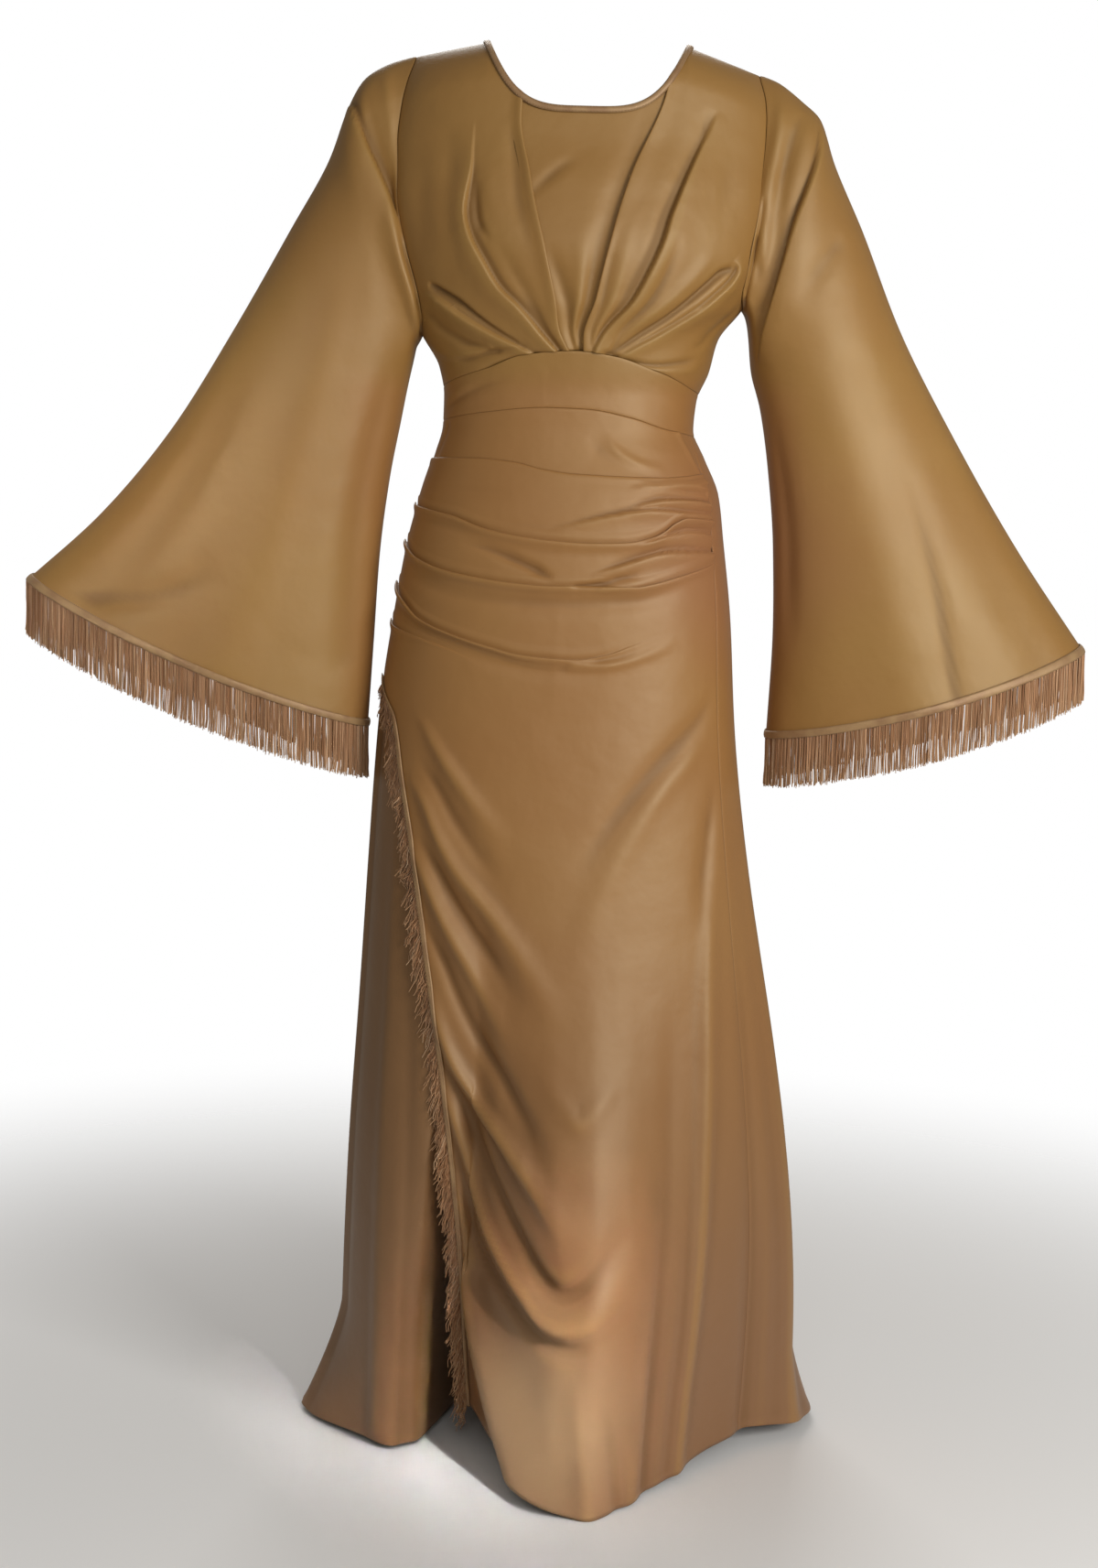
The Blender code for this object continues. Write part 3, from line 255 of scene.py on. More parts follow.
def foldedOut(points, outward, folds, linePlace):
    out = np.zeros(points.shape[:-1]).ravel()
    flat, facing = points.reshape(-1, 3), outward.reshape(-1, 3)
    for one in folds:
        count = 9 * len(one["line"])
        line = smoothLine(one["line"], count)
        curve = linePlace(line[:, 0], line[:, 1])
        share = np.linspace(0, 1, count)
        widths = np.interp(share, np.linspace(0, 1, len(one["width"])), one["width"])
        reach = 2.8 * widths.max() * (1 + abs(one["lean"]))
        near = np.flatnonzero(np.all((flat > curve.min(0) - reach) & (flat < curve.max(0) + reach), 1))
        if not len(near):
            continue
        start, step = curve[:-1], np.diff(curve, axis=0)
        gap = flat[near][:, None] - start
        part = np.clip((gap * step).sum(-1) / (step ** 2).sum(-1), 0, 1)
        gap = gap - part[..., None] * step
        away = np.linalg.norm(gap, axis=-1)
        best = away.argmin(1)
        row = np.arange(len(near))
        at = (best + part[row, best]) / len(step)
        side = (gap[row, best] * np.cross(facing[near], step[best])).sum(-1)
        if "side" in one:
            out[near] += pleatHeight(one, at, away[row, best] * np.sign(side) * one["side"])
            continue
        outs = np.interp(share, np.linspace(0, 1, len(one["out"])), one["out"])
        width = np.interp(at, share, widths) * np.where(side > 0, 1 - one["lean"], 1 + one["lean"])
        out[near] += np.interp(at, share, outs) * np.exp(-(away[row, best] / width) ** 2)
    return out.reshape(points.shape[:-1])


def blurred(values, rows, columns):
    for axis, half in ((0, rows), (1, columns)):
        if half < 1:
            continue
        pad = [(0, 0), (0, 0)]
        pad[axis] = (half + 1, half)
        total = np.cumsum(np.pad(values, pad, mode="edge"), axis=axis)
        size = 2 * half + 1
        if axis == 0:
            values = (total[size:] - total[:-size]) / size
        else:
            values = (total[:, size:] - total[:, :-size]) / size
    return values


def lengths(points, axis):  # distance along the rows or columns of a sheet of points
    steps = np.linalg.norm(np.diff(points, axis=axis), axis=-1)
    start = np.zeros_like(steps[:1]) if axis == 0 else np.zeros_like(steps[:, :1])
    return np.concatenate([start, np.cumsum(steps, axis=axis)], axis=axis)


edgeSteps = np.array([0, .0007, .0016, .0030, .0052])  # the cloth turns in here, near its seams


def fineEdges(count, size):  # shares of a size, close together at both ends
    ends = edgeSteps / size
    middle = np.linspace(ends[-1], 1 - ends[-1], count - 2 * len(ends) + 2)
    return np.concatenate([ends[:-1], middle, 1 - ends[-2::-1]])


def seamRoll(points, edges, depth=.0005, width=.0012):
    # the cloth turns in where it is sewn
    across, down = lengths(points, 1), lengths(points, 0)
    away = {"l": across, "r": across[:, -1:] - across, "b": down, "t": down[-1:] - down}
    sunk = np.zeros(points.shape[:-1])
    for edge in edges:
        sunk = np.maximum(sunk, depth * np.exp(-(away[edge] / width) ** 2))
    return sunk


def drawnIn(points, gap, edges="lrbt"):
    points = points.copy()
    sides = {"l": (np.s_[:, 0], np.s_[:, 2]), "r": (np.s_[:, -1], np.s_[:, -3]),
             "b": (np.s_[0], np.s_[2]), "t": (np.s_[-1], np.s_[-3])}
    for key in edges:
        edge, inner = sides[key]
        step = points[inner] - points[edge]
        points[edge] += step / np.linalg.norm(step, axis=-1, keepdims=True) * gap
    return points


def placed(name, data):
    made = bpy.data.objects.new(name, data)
    bpy.context.collection.objects.link(made)
    return made


def gridMesh(name, points, closed=False, flip=False, crease=None, material=None):
    rows, columns = points.shape[:2]
    row, column = np.mgrid[0:rows - 1, 0:columns if closed else columns - 1]
    after = (column + 1) % columns
    quads = np.stack([row * columns + column, row * columns + after,
                      (row + 1) * columns + after, (row + 1) * columns + column], -1)
    ringed = np.concatenate([points, points[:, :1]], 1) if closed else points
    u, v = lengths(ringed, 1)[rows // 2], lengths(points, 0)[:, columns // 2]
    weave = np.stack([np.stack([u[column], v[row]], -1), np.stack([u[column + 1], v[row]], -1),
                      np.stack([u[column + 1], v[row + 1]], -1), np.stack([u[column], v[row + 1]], -1)], -2)
    quads, weave = quads.reshape(-1, 4), weave.reshape(-1, 4, 2)
    if flip:
        quads, weave = quads[:, ::-1], weave[:, ::-1]
    mesh = bpy.data.meshes.new(name)
    mesh.from_pydata(points.reshape(-1, 3).tolist(), [], quads.tolist())
    mesh.uv_layers.new(name="cloth").data.foreach_set("uv", weave.ravel())
    if crease is not None:
        mesh.attributes.new("crease", "FLOAT", "POINT").data.foreach_set("value", crease.ravel())
    mesh.shade_smooth()
    if material:
        mesh.materials.append(material)
    return placed(name, mesh)


def giveWall(piece, wall=clothWall):
    shell = piece.modifiers.new("Wall", "SOLIDIFY")
    shell.thickness = wall
    shell.offset = -1.0
    shell.use_rim = True
    return piece


def creaseOf(lift, points, reach=.013, depth=.0022):
    # how deep in a fold the cloth lies: 1 in a trough, -1 on a ridge. The satin uses it to paint shade in
    # the troughs and a highlight on the ridges
    rows, columns = points.shape[:2]
    spacing = lengths(points, 0)[-1].mean() / rows, lengths(points, 1)[:, -1].mean() / columns
    around = blurred(lift, *(int(round(reach / size)) for size in spacing))
    return np.clip((around - lift) / depth, -1, 1)


def clothPanel(name, node, places, folds, hem=hemPlan, out=0.0, seams="lrbt", side=0, slot="satin",
               keep="lrbt"):
    turn, drop = places

    def place(first, second):
        return wornPlace(first, second, hem)

    def linePlace(first, second):
        return wornPlace(first, ringDrop(second), hem)

    points = place(turn, drop)
    outward = outwardOf(place, turn, drop)
    lift = foldedOut(points, outward, folds, linePlace) + out
    crease = creaseOf(lift, points)
    lift = lift - seamRoll(points, seams)
    points = drawnIn(points + outward * lift[..., None], seamGap, keep)
    points[..., 1] += side * seamGap
    piece = giveWall(gridMesh(name, points, crease=crease, material=looks[slot]))
    finishPiece(piece, slot, node)
    sheetFlat(piece, points)
    return points, outward


def finishPiece(piece, slot, *nodes):
    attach(piece, "root")
    if nodes:
        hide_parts(*nodes)


def sheetFlat(piece, points):
    across, down = lengths(points, 1)[:, -1], lengths(points, 0)[-1]
    cell = np.linalg.norm(np.cross(points[1:, :-1] - points[:-1, :-1], points[:-1, 1:] - points[:-1, :-1]),
                          axis=-1)
    print("sheet", piece.name, round(across.max(), 3), round(down.max(), 3), round(cell.sum(), 4))


# Finishes

def newNode(tree, kind, settings, values):  # its settings are set before its inputs
    node = tree.nodes.new(kind)
    for key, setting in (settings or {}).items():
        setattr(node, key, setting)
    for key, value in values.items() if isinstance(values, dict) else enumerate(values):
        give(tree, node.inputs[key], value)
    return node


def give(tree, socket, value):
    value = value.socket if isinstance(value, Wire) else value
    if isinstance(value, bpy.types.NodeSocket):
        tree.links.new(value, socket)
    elif value is not None:
        socket.default_value = value


class Wire:  # a socket that can be used in sums
    def __init__(self, owner, socket):
        self.owner, self.socket = owner, socket

    def maths(self, operation, first, second):
        return self.owner.add("ShaderNodeMath", {"operation": operation}, [first, second])

    def __add__(self, other):
        return self.maths("ADD", self, other)

    def __radd__(self, other):
        return self.maths("ADD", other, self)

    def __sub__(self, other):
        return self.maths("SUBTRACT", self, other)

    def __rsub__(self, other):
        return self.maths("SUBTRACT", other, self)

    def __mul__(self, other):
        return self.maths("MULTIPLY", self, other)

    def __rmul__(self, other):
        return self.maths("MULTIPLY", other, self)

    def __pow__(self, other):
        return self.maths("POWER", self, other)

    def between(self, low, high):  # 0 at low, 1 at high, smooth between
        return self.owner.add("ShaderNodeMapRange", {"interpolation_type": "SMOOTHSTEP"}, [self, low, high])


class Tree:  # adds nodes to one node tree
    def add(self, kind, settings=None, values=(), out=0):
        return Wire(self, newNode(self.tree, kind, settings, values).outputs[out])


class Finish(Tree):
    def __init__(self, name):
        self.material = bpy.data.materials.new(name)
        self.material.use_nodes = True
        self.tree = self.material.node_tree
        self.shader = self.tree.nodes["Principled BSDF"]

    def set(self, values):
        for name, value in values.items():
            give(self.tree, self.shader.inputs[name], value)

    def mix(self, share, first, second, blend="MIX"):
        first, second = ((*c, 1.0) if isinstance(c, tuple) and len(c) == 3 else c for c in (first, second))
        return self.add("ShaderNodeMix", {"data_type": "RGBA", "blend_type": blend},
                        {0: share, 6: first, 7: second}, out=2)

    def noise(self, vector, scale, detail=2.0, roughness=.5):
        return self.add("ShaderNodeTexNoise", {}, {"Vector": vector, "Scale": scale, "Detail": detail,
                                                   "Roughness": roughness})

    def objectPlace(self):
        return self.add("ShaderNodeTexCoord", {}, {}, "Object")

    def attribute(self, name):
        return self.add("ShaderNodeAttribute", {"attribute_name": name}, {}, "Fac")

    def distance(self, place, centre):
        return self.add("ShaderNodeVectorMath", {"operation": "DISTANCE"}, [place, centre], "Value")

    def bump(self, strength, distance, height, normal=None):
        return self.add("ShaderNodeBump", {}, {"Strength": strength, "Distance": distance, "Height": height,
                                               "Normal": normal})

    def weaveLines(self, scale, turned, thread="X"):  # threads across the cloth's own map
        uv = self.add("ShaderNodeUVMap", {"uv_map": "cloth"})
        mapped = self.add("ShaderNodeMapping", {}, {"Vector": uv, "Rotation": (0, 0, math.radians(turned))})
        return self.add("ShaderNodeTexWave", {"bands_direction": thread},
                        {"Vector": mapped, "Scale": scale, "Distortion": .6, "Detail": 1.0,
                         "Detail Scale": 2.0}, "Fac")


threadHeight = .0004
satinLook = {
    # ground and lit vary at random over the cloth; lit is also the painted highlight on ridges, and deep the
    # painted shade in troughs
    "ground": (.331, .155, .047), "lit": (.366, .192, .059), "deep": (.165, .073, .022),
    "low": (.228, .108, .048), "lowShadeFrom": (.75, 1.45),  # painted shade: redder and darker down the skirt
    "warm": (.330, .142, .064), "warmAt": (.175, -.04, -.53), "warmReach": (.04, .17),  # painted shade: a redder brown on the right hip
    "pale": (.420, .270, .145), "paleAt": (-.035, -.25, -1.44), "paleReach": (.03, .17),  # painted highlight: paler and creamier low on the front
    "golden": (.940, 1.0, .860),  # a tint on the bodice and the sleeves
    # under: painted shade, the darker colour the under layer is mixed towards in the wrap's shadow
    "under": (.180, .090, .038), "threadGap": (.62, .62, .62),
    "roughness": .49, "gloss": .68, "glossTint": (1.0, .93, .72),
    "sheen": .03, "sheenTint": (.95, .84, .58), "sheenRoughness": .45,
    "threadScale": 380.0, "slubScale": 380.0 * .32, "weaveBump": .10, "swells": .0032,
}


def satinFinish(name, shaded=0.0):
    finish = Finish(name)
    place = finish.objectPlace()
    height = finish.add("ShaderNodeSeparateXYZ", {}, [place], out=2)
    drift = finish.noise(place, 5.0, 3.0)
    cloud = finish.noise(place, 17.0, 2.0)
    crease = finish.attribute("crease")
    trough = crease.between(.05, 1.0)
    ridge = (0 - crease).between(.05, 1.0)
    low = (0 - height).between(*satinLook["lowShadeFrom"])
    colour = finish.mix(drift.between(.30, .70) * .5, satinLook["ground"], satinLook["lit"])
    # painted shade: the low colour mixed in down the skirt
    colour = finish.mix(low * .90, colour, satinLook["low"])
    # painted highlight on the ridges and painted shade in the troughs
    colour = finish.mix(ridge * .45, colour, satinLook["lit"])
    colour = finish.mix(trough * .60, colour, satinLook["deep"])
    # painted shade on the right hip, and a painted highlight low on the front
    for paintedSpot, share in (("warm", .70), ("pale", .75)):
        away = finish.distance(place, satinLook[paintedSpot + "At"])
        spread = 1 - away.between(*satinLook[paintedSpot + "Reach"])
        colour = finish.mix(spread * share, colour, satinLook[paintedSpot])
    sideways = finish.add("ShaderNodeSeparateXYZ", {}, [place], out=0)
    onSleeve = (sideways * sideways).between(.045, .066) * height.between(-1.02, -.90)
    above = 1 - (1 - height.between(-.375, -.335)) * (1 - onSleeve)
    colour = finish.mix(above, colour, finish.mix(1.0, colour, satinLook["golden"], "MULTIPLY"))
    # painted shade: the whole cloth darkened towards the under colour
    if shaded:
        colour = finish.mix(shaded, colour, satinLook["under"])
    thread = finish.weaveLines(satinLook["threadScale"], 63)
    slub = finish.weaveLines(satinLook["slubScale"], 0, "Y")
    weave = finish.mix(thread, satinLook["threadGap"], (1.0, 1.0, 1.0))
    colour = finish.mix(.16, colour, weave, "MULTIPLY")
    swells = finish.noise(place, 21.0, 3.0, .45)
    bump = finish.bump(.55, satinLook["swells"], swells)
    bump = finish.bump(satinLook["weaveBump"], threadHeight, thread * .7 + slub * .3, bump)
    finish.set({"Base Color": colour,
                "Roughness": satinLook["roughness"] + cloud * .08 + trough * .10 - .04,
                "Specular IOR Level": satinLook["gloss"], "Specular Tint": (*satinLook["glossTint"], 1.0),
                "Sheen Weight": satinLook["sheen"], "Sheen Roughness": satinLook["sheenRoughness"],
                "Sheen Tint": (*satinLook["sheenTint"], 1.0), "Normal": bump})
    return finish.material


trimLook = {
    "dark": (.300, .165, .075), "light": (.390, .240, .110), "threadScale": 500.0,
    "roughness": .42, "metallic": .15,
    "sheen": .25, "sheenRoughness": .45, "sheenTint": (.95, .82, .6, 1.0),
}


def trimFinish(name):
    finish = Finish(name)
    place = finish.objectPlace()
    grain = finish.noise(place, 60.0, 3.0)
    thread = finish.weaveLines(trimLook["threadScale"], 45)
    colour = finish.mix(grain.between(.3, .7), trimLook["dark"], trimLook["light"])
    bump = finish.bump(.15, threadHeight, thread + grain)
    finish.set({"Base Color": colour, "Roughness": trimLook["roughness"] + grain * .1,
                "Metallic": trimLook["metallic"], "Sheen Weight": trimLook["sheen"],
                "Sheen Roughness": trimLook["sheenRoughness"], "Sheen Tint": trimLook["sheenTint"],
                "Normal": bump})
    return finish.material


strandLook = {
    "dark": (.330, .150, .060), "light": (.520, .285, .142), "palest": (.740, .510, .315),
    "tip": (.560, .342, .182), "roughness": .48, "metallic": .05,
    "sheen": .2, "sheenRoughness": .4, "sheenTint": (.95, .85, .7, 1.0),
}


def strandFinish(name):
    finish = Finish(name)
    tone = finish.attribute("tone")
    along = finish.attribute("along")
    colour = finish.mix(tone.between(.0, .85), strandLook["dark"], strandLook["light"])
    colour = finish.mix(tone.between(.86, 1.0) * .8, colour, strandLook["palest"])
    colour = finish.mix(along.between(.55, 1.0) * .35, colour, strandLook["tip"])
    finish.set({"Base Color": colour, "Roughness": strandLook["roughness"] + along * .12,
                "Metallic": strandLook["metallic"], "Sheen Weight": strandLook["sheen"],
                "Sheen Roughness": strandLook["sheenRoughness"], "Sheen Tint": strandLook["sheenTint"]})
    return finish.material


threadLook = {"dark": (.235, .125, .055), "light": (.345, .205, .095), "roughness": .45}


def threadFinish(name):
    finish = Finish(name)
    grain = finish.noise(finish.objectPlace(), 900.0, 2.0)
    finish.set({"Base Color": finish.mix(grain, threadLook["dark"], threadLook["light"]),
                "Roughness": threadLook["roughness"]})
    return finish.material


looks = {
    "satin": satinFinish("satin"),
    # the under layer's satin is a copy with painted shade
    "under_layer": satinFinish("satinUnderLayerShaded", .62),
    "trim": trimFinish("trimSatin"),
    "fringe": strandFinish("fringeStrands"),
    "thread": threadFinish("stitchThread"),
}
print("finishes made")


# Bodice

def patch(bottom, top, left, right, across, up):  # places inside four edges
    u, v = np.meshgrid(across, up)
    b, t, l, r = bottom(u), top(u), left(v), right(v)
    corners = [edge(np.float64(end)) for edge in (bottom, top) for end in (0, 1)]
    inside = []
    for axis in range(2):
        leftStraight, rightStraight = (corners[k][axis] * (1 - v) + corners[2 + k][axis] * v for k in (0, 1))
        inside.append((1 - v) * b[axis] + v * t[axis] + (1 - u) ** 3 * (l[axis] - leftStraight)
                      + u ** 3 * (r[axis] - rightStraight))
    return inside[0], inside[1]


def acrossLine(table, fromTurn, toTurn):
    def edge(part):
        turn = fromTurn + (toTurn - fromTurn) * part
        return turn, ringDrop(follow(table, "turn", "height", turn))
    return edge


def downLine(table, fromHeight, toHeight):
    def edge(part):
        height = fromHeight + (toHeight - fromHeight) * part
        return follow(table, "height", "turn", height), ringDrop(height)
    return edge


def uprightLine(turn, fromHeight, toHeight):
    def edge(part):
        return turn + 0 * part, ringDrop(fromHeight + (toHeight - fromHeight) * part)
    return edge


def turnAt(x, drop):
    turns = np.linspace(-90, 90, 361)
    x, drop = np.broadcast_arrays(np.asarray(x, float), np.asarray(drop, float))
    found = [np.interp(oneX, wornPlace(turns, np.full_like(turns, oneDrop))[:, 0], turns)
             for oneX, oneDrop in zip(x.ravel(), drop.ravel())]
    return np.array(found).reshape(x.shape)


def neckPlace(roundNeck, widen, neckDrop):
    x = wornForm["neckCentre"] + (wornForm["neckHalfWidth"] + widen) * np.sin(np.radians(roundNeck))
    share = np.abs(np.sin(np.radians(roundNeck))) ** neckline["roundness"]
    drop = ringDrop(-(neckDrop + widen) * (1 - share))
    return turnAt(x, drop), drop


neckRounds = np.linspace(-90, 90, 181)
neckTurns, neckDrops = neckPlace(neckRounds, 0.0, neckline["frontDrop"])
backNeckTurns, backNeckDrops = neckPlace(neckRounds, 0.0, neckline["backDrop"])


def neckEdge(roundNeck):
    return np.interp(roundNeck, neckRounds, neckTurns), np.interp(roundNeck, neckRounds, neckDrops)


def armhole(roundArm, side):
    height = underarm[side] * (1 - np.cos(np.radians(roundArm))) / 2
    return side * follow(armholeLine, "roundArm", "turn", roundArm), ringDrop(height)


def sidePlaces(side, seamSteps=24, armSteps=90):
    band = float(follow(bandTop, "turn", "height", side * 90))
    seam = ringDrop(np.linspace(band, underarm[side], seamSteps + 1))[:-1]
    armTurn, armDrop = armhole(np.linspace(180, 0, armSteps + 1), side)
    return np.concatenate([np.full(seamSteps, side * 90.0), armTurn]), np.concatenate([seam, armDrop])


sideShares = [1 - drop / drop[0] for _, drop in (sidePlaces(-1), sidePlaces(1))]
sideRows = (sideShares[0] + sideShares[1]) / 2


def bodiceSide(side):
    turn, drop = sidePlaces(side)

    def edge(part):
        return np.interp(part, sideRows, turn), np.interp(part, sideRows, drop)
    return edge


def insertEdge(table):
    atNeck = ringHeight(float(np.interp(table["turn"][0], neckTurns, neckDrops)))
    return downLine(table, table["height"][-1], float(atNeck))


bodiceRows = np.concatenate([edgeSteps / .36, np.linspace(.0075 / .36, .55, 112),
                             np.linspace(.55, 1, 60)[1:]])  # closer together in the lower half
bodice = {
    "columns": (130, .19),  # how many, over what width
    "backColumns": (110, .40),
    "backRows": (112, .36),
    "backShares": (0.0, .27, .73, 1.0),  # the shoulders and the neck between them
    "shoulderShare": {-1: .45, 1: .55},
    "edgeLip": {-1: .0022, 1: .0024},  # the front's rolled edge over the insert
    "edgeLipFades": {-1: .008, 1: .016},
    "edgeLipStarts": .0016,
    "edgeLipRolls": .0014,
    "insertUnder": 3.0,
    "insertSunk": .0010,
    "insertColumns": 56,
    "leftFolds": [
        # the long pleat from the chest to the waist, its lip towards the centre, and the pocket beside it
        pleat([-30, -30, -30, -31, -32, -31, -28, -24, -18, -12, -6, -4],
              [-88, -116, -140, -164, -187, -210, -233, -260, -279, -298, -322, -336],
              [0, 2.4, 5, 6.2, 5.8, 5.2, 4.4, 3.6], [0, .4, 2.4, 2.6, 2.2, 1.8, 1.6, 1.2],
              [14, 20, 26, 26, 22, 16, 11, 7], [6, 9, 12, 12, 10, 7, 5, 4], -1),
        fold([-28, -28.5, -28, -25], [-150, -179, -198, -216], [0, -2.6, -3, 0], [4, 4.5, 4.5, 4]),
        fold([-40, -37, -38, -36], [-90, -140, -200, -250], [0, -1.8, -1.8, 0], [10, 12, 12, 9]),
        fold([-20, -18, -16, -13], [-94, -117, -176, -225], [0, -1.5, -1.8, 0], [8, 8, 9, 8]),
        fold([-25, -19, -12, -4], [-205, -245, -285, -326], [0, -1.6, -2.2, -1.8], [9, 8, 6, 3]),
        fold([-24, -24, -20], [-110, -165, -215], [0, 1, 0], [8, 10, 9]),
        # the short pleat over the waist
        fold([-55, -51, -42, -35, -28, -20], [-257, -262, -275, -289, -302, -316],
             [0, -6, -6.2, -4.6, -2.8, -1], [3.4, 3.6, 3.4, 3, 2.4, 2]),
        pleat([-60, -53, -47, -41, -28, -16, -12], [-263, -268.5, -276.5, -287.5, -307.5, -325.5, -337],
              [0, 4.2, 5.2, 4.8, 4, 2.6], [0, 1.6, 1.8, 1.4, 1, .6], [10, 13, 14, 12, 9, 5],
              [3, 3, 3, 3, 2.4, 2], -1),
        fold([-58, -47, -28, -16], [-334, -333.5, -325, -320.5], [0, -2.4, -2.2, 0], [4, 3.6, 3, 2.4]),
        fold([-44, -34, -17, -8], [-343, -340, -329, -324.5], [0, -2, -1.8, -1], [3.6, 3, 2.4, 2]),
        fold([-66, -56, -44, -30], [-280, -300, -317, -326], [0, -2, -2.4, -1], [9, 8, 6, 3.5]),
        fold([-78, -62, -46, -32], [-318, -328, -328, -321.5], [0, 1.6, 1.8, 1], [8, 6, 4, 3]),
        fold([-62, -60, -62], [-90, -160, -225], [0, 1.4, 0], [14, 16, 14]),
        fold([-50, -49, -52], [-100, -165, -230], [0, -1, 0], [10, 12, 10]),
    ],
    "rightFolds": [
        # the long pleat, its lip away from the centre
        pleat([40, 38, 34, 30, 26, 24, 21, 18, 14, 8, 6],
              [-66, -80, -109, -142, -181, -211, -243, -271, -294, -323, -336],
              [0, 1.2, 3.4, 5, 5.6, 5.4, 4.6, 3.6, 2.8], [0, 2, 3.4, 3.6, 3.4, 3, 2.4, 1.8, 1.2],
              [12, 16, 20, 24, 24, 20, 15, 10, 6], [12, 14, 14, 13, 11, 9, 6, 4, 3], 1),
        fold([29, 27, 23, 17, 12], [-200, -240, -276, -312, -330], [0, -2.2, -2.8, -2.2, -1],
             [7, 7, 6, 4, 3]),
        fold([12, 9.5, 8.5, 7.5], [-190, -231, -272, -318], [0, -1.8, -2.2, -1.2], [5, 5, 4, 2.6]),
        fold([16, 13.5, 11.5, 8], [-170, -225, -275, -318], [0, 1.4, 2, 1.2], [7, 7, 5, 3]),
        # the short pleat over the waist, round at its end
        fold([52.5, 49, 45, 38, 33, 25, 15], [-235.5, -241, -252.5, -273.5, -290, -306.5, -325.5],
             [-3.5, -6.8, -6.6, -5.2, -4, -2.8, -1.2], [4.4, 5, 4.8, 4, 3.4, 2.8, 2.2]),
        pleat([53, 56.5, 55, 50, 42, 34, 22, 14], [-226, -234, -246, -262, -285, -303, -321, -335],
              [0, 3.8, 5, 5, 4.4, 3.4, 2.4, 1.6], [0, 1.4, 1.6, 1.4, 1, .8, .6, .4],
              [8, 13, 16, 17, 15, 11, 8, 5], [3, 3.4, 3.4, 3, 3, 2.4, 2, 2], 1),
        fold([44, 37, 27, 14], [-215, -247, -284, -320], [0, 2.2, 2.8, 1.4], [9, 8, 6, 4]),
        fold([12, 18, 27, 36, 50, 64], [-324.5, -329, -334.5, -335.5, -331, -325],
             [-1.2, -2.6, -2.4, -2.2, -1.6, 0], [2.4, 2.4, 2.6, 2.8, 3.6, 5]),
        fold([18, 34, 52, 66], [-334, -341, -340, -334], [.6, 1.2, 1.4, 0], [3, 3.4, 5, 7]),
        fold([76, 70, 62, 50], [-255, -285, -308, -322.5], [0, -2, -1.8, 0], [9, 9, 7, 5]),
        fold([58, 57, 60], [-78, -150, -215], [0, 1.5, 0], [14, 16, 14]),
        fold([47, 45, 43], [-90, -150, -205], [0, -1.1, 0], [10, 12, 10]),
    ],
    "insertFolds": [
        fold([19, 15, 12, 9, 6.6, 4.8, 3.6, 3], [-70, -114, -145, -183, -213, -249, -290, -325],
             [0, -2, -3, -3.8, -4.4, -4.4, -3.6, -2.6], [12, 13, 13, 12, 11, 8, 5.5, 4]),
        fold([-8.5, -5.5, -3, -.5, 1], [-215, -245, -270, -295, -324], [0, -2.6, -3.2, -3, -2.2],
             [7, 8, 7, 5, 3.5]),
        fold([-13, -8, -4, 0], [-168, -148, -135, -128], [-1, -2.2, -1.6, 0], [6, 6.5, 6.5, 7]),
        fold([0, 1, 1.4, 2], [-190, -240, -285, -318], [0, 1.4, 1.8, 1], [10, 8, 5, 3]),
        fold([-4, 0, 3], [-90, -120, -170], [0, -.8, 0], [14, 16, 16]),
    ],
    "backFolds": [
        fold([226, 214, 206], [-120, -230, -345], [0, -3, -1.5], [14, 16, 10]),
        fold([134, 146, 154], [-120, -230, -345], [0, -3, -1.5], [14, 16, 10]),
        pleat([222, 212, 204, 198], [-215, -270, -310, -356], [0, 2.6, 3.2, 2.4], [0, 1.2, 1.6, 1],
              [12, 16, 14, 9], [6, 8, 7, 5], 1),
        pleat([136, 147, 155, 161], [-222, -275, -312, -356], [0, 2.4, 3, 2.2], [0, 1.2, 1.6, 1],
              [12, 16, 14, 9], [6, 8, 7, 5], -1),
        fold([112, 138, 160], [-300, -318, -346], [0, -1.8, -.8], [8, 8, 5]),
        fold([248, 226, 204], [-310, -322, -346], [0, -1.8, -.8], [8, 8, 5]),
        fold([168, 172, 174], [-110, -220, -330], [0, 1.5, .6], [22, 26, 14]),
        fold([196, 192, 188], [-140, -240, -335], [0, -1.2, -.5], [14, 18, 10]),
        fold([104, 118, 128], [-200, -225, -262], [0, 1.8, 0], [9, 10, 9]),
        fold([256, 243, 232], [-215, -240, -275], [0, 1.8, 0], [9, 10, 9]),
    ],
}


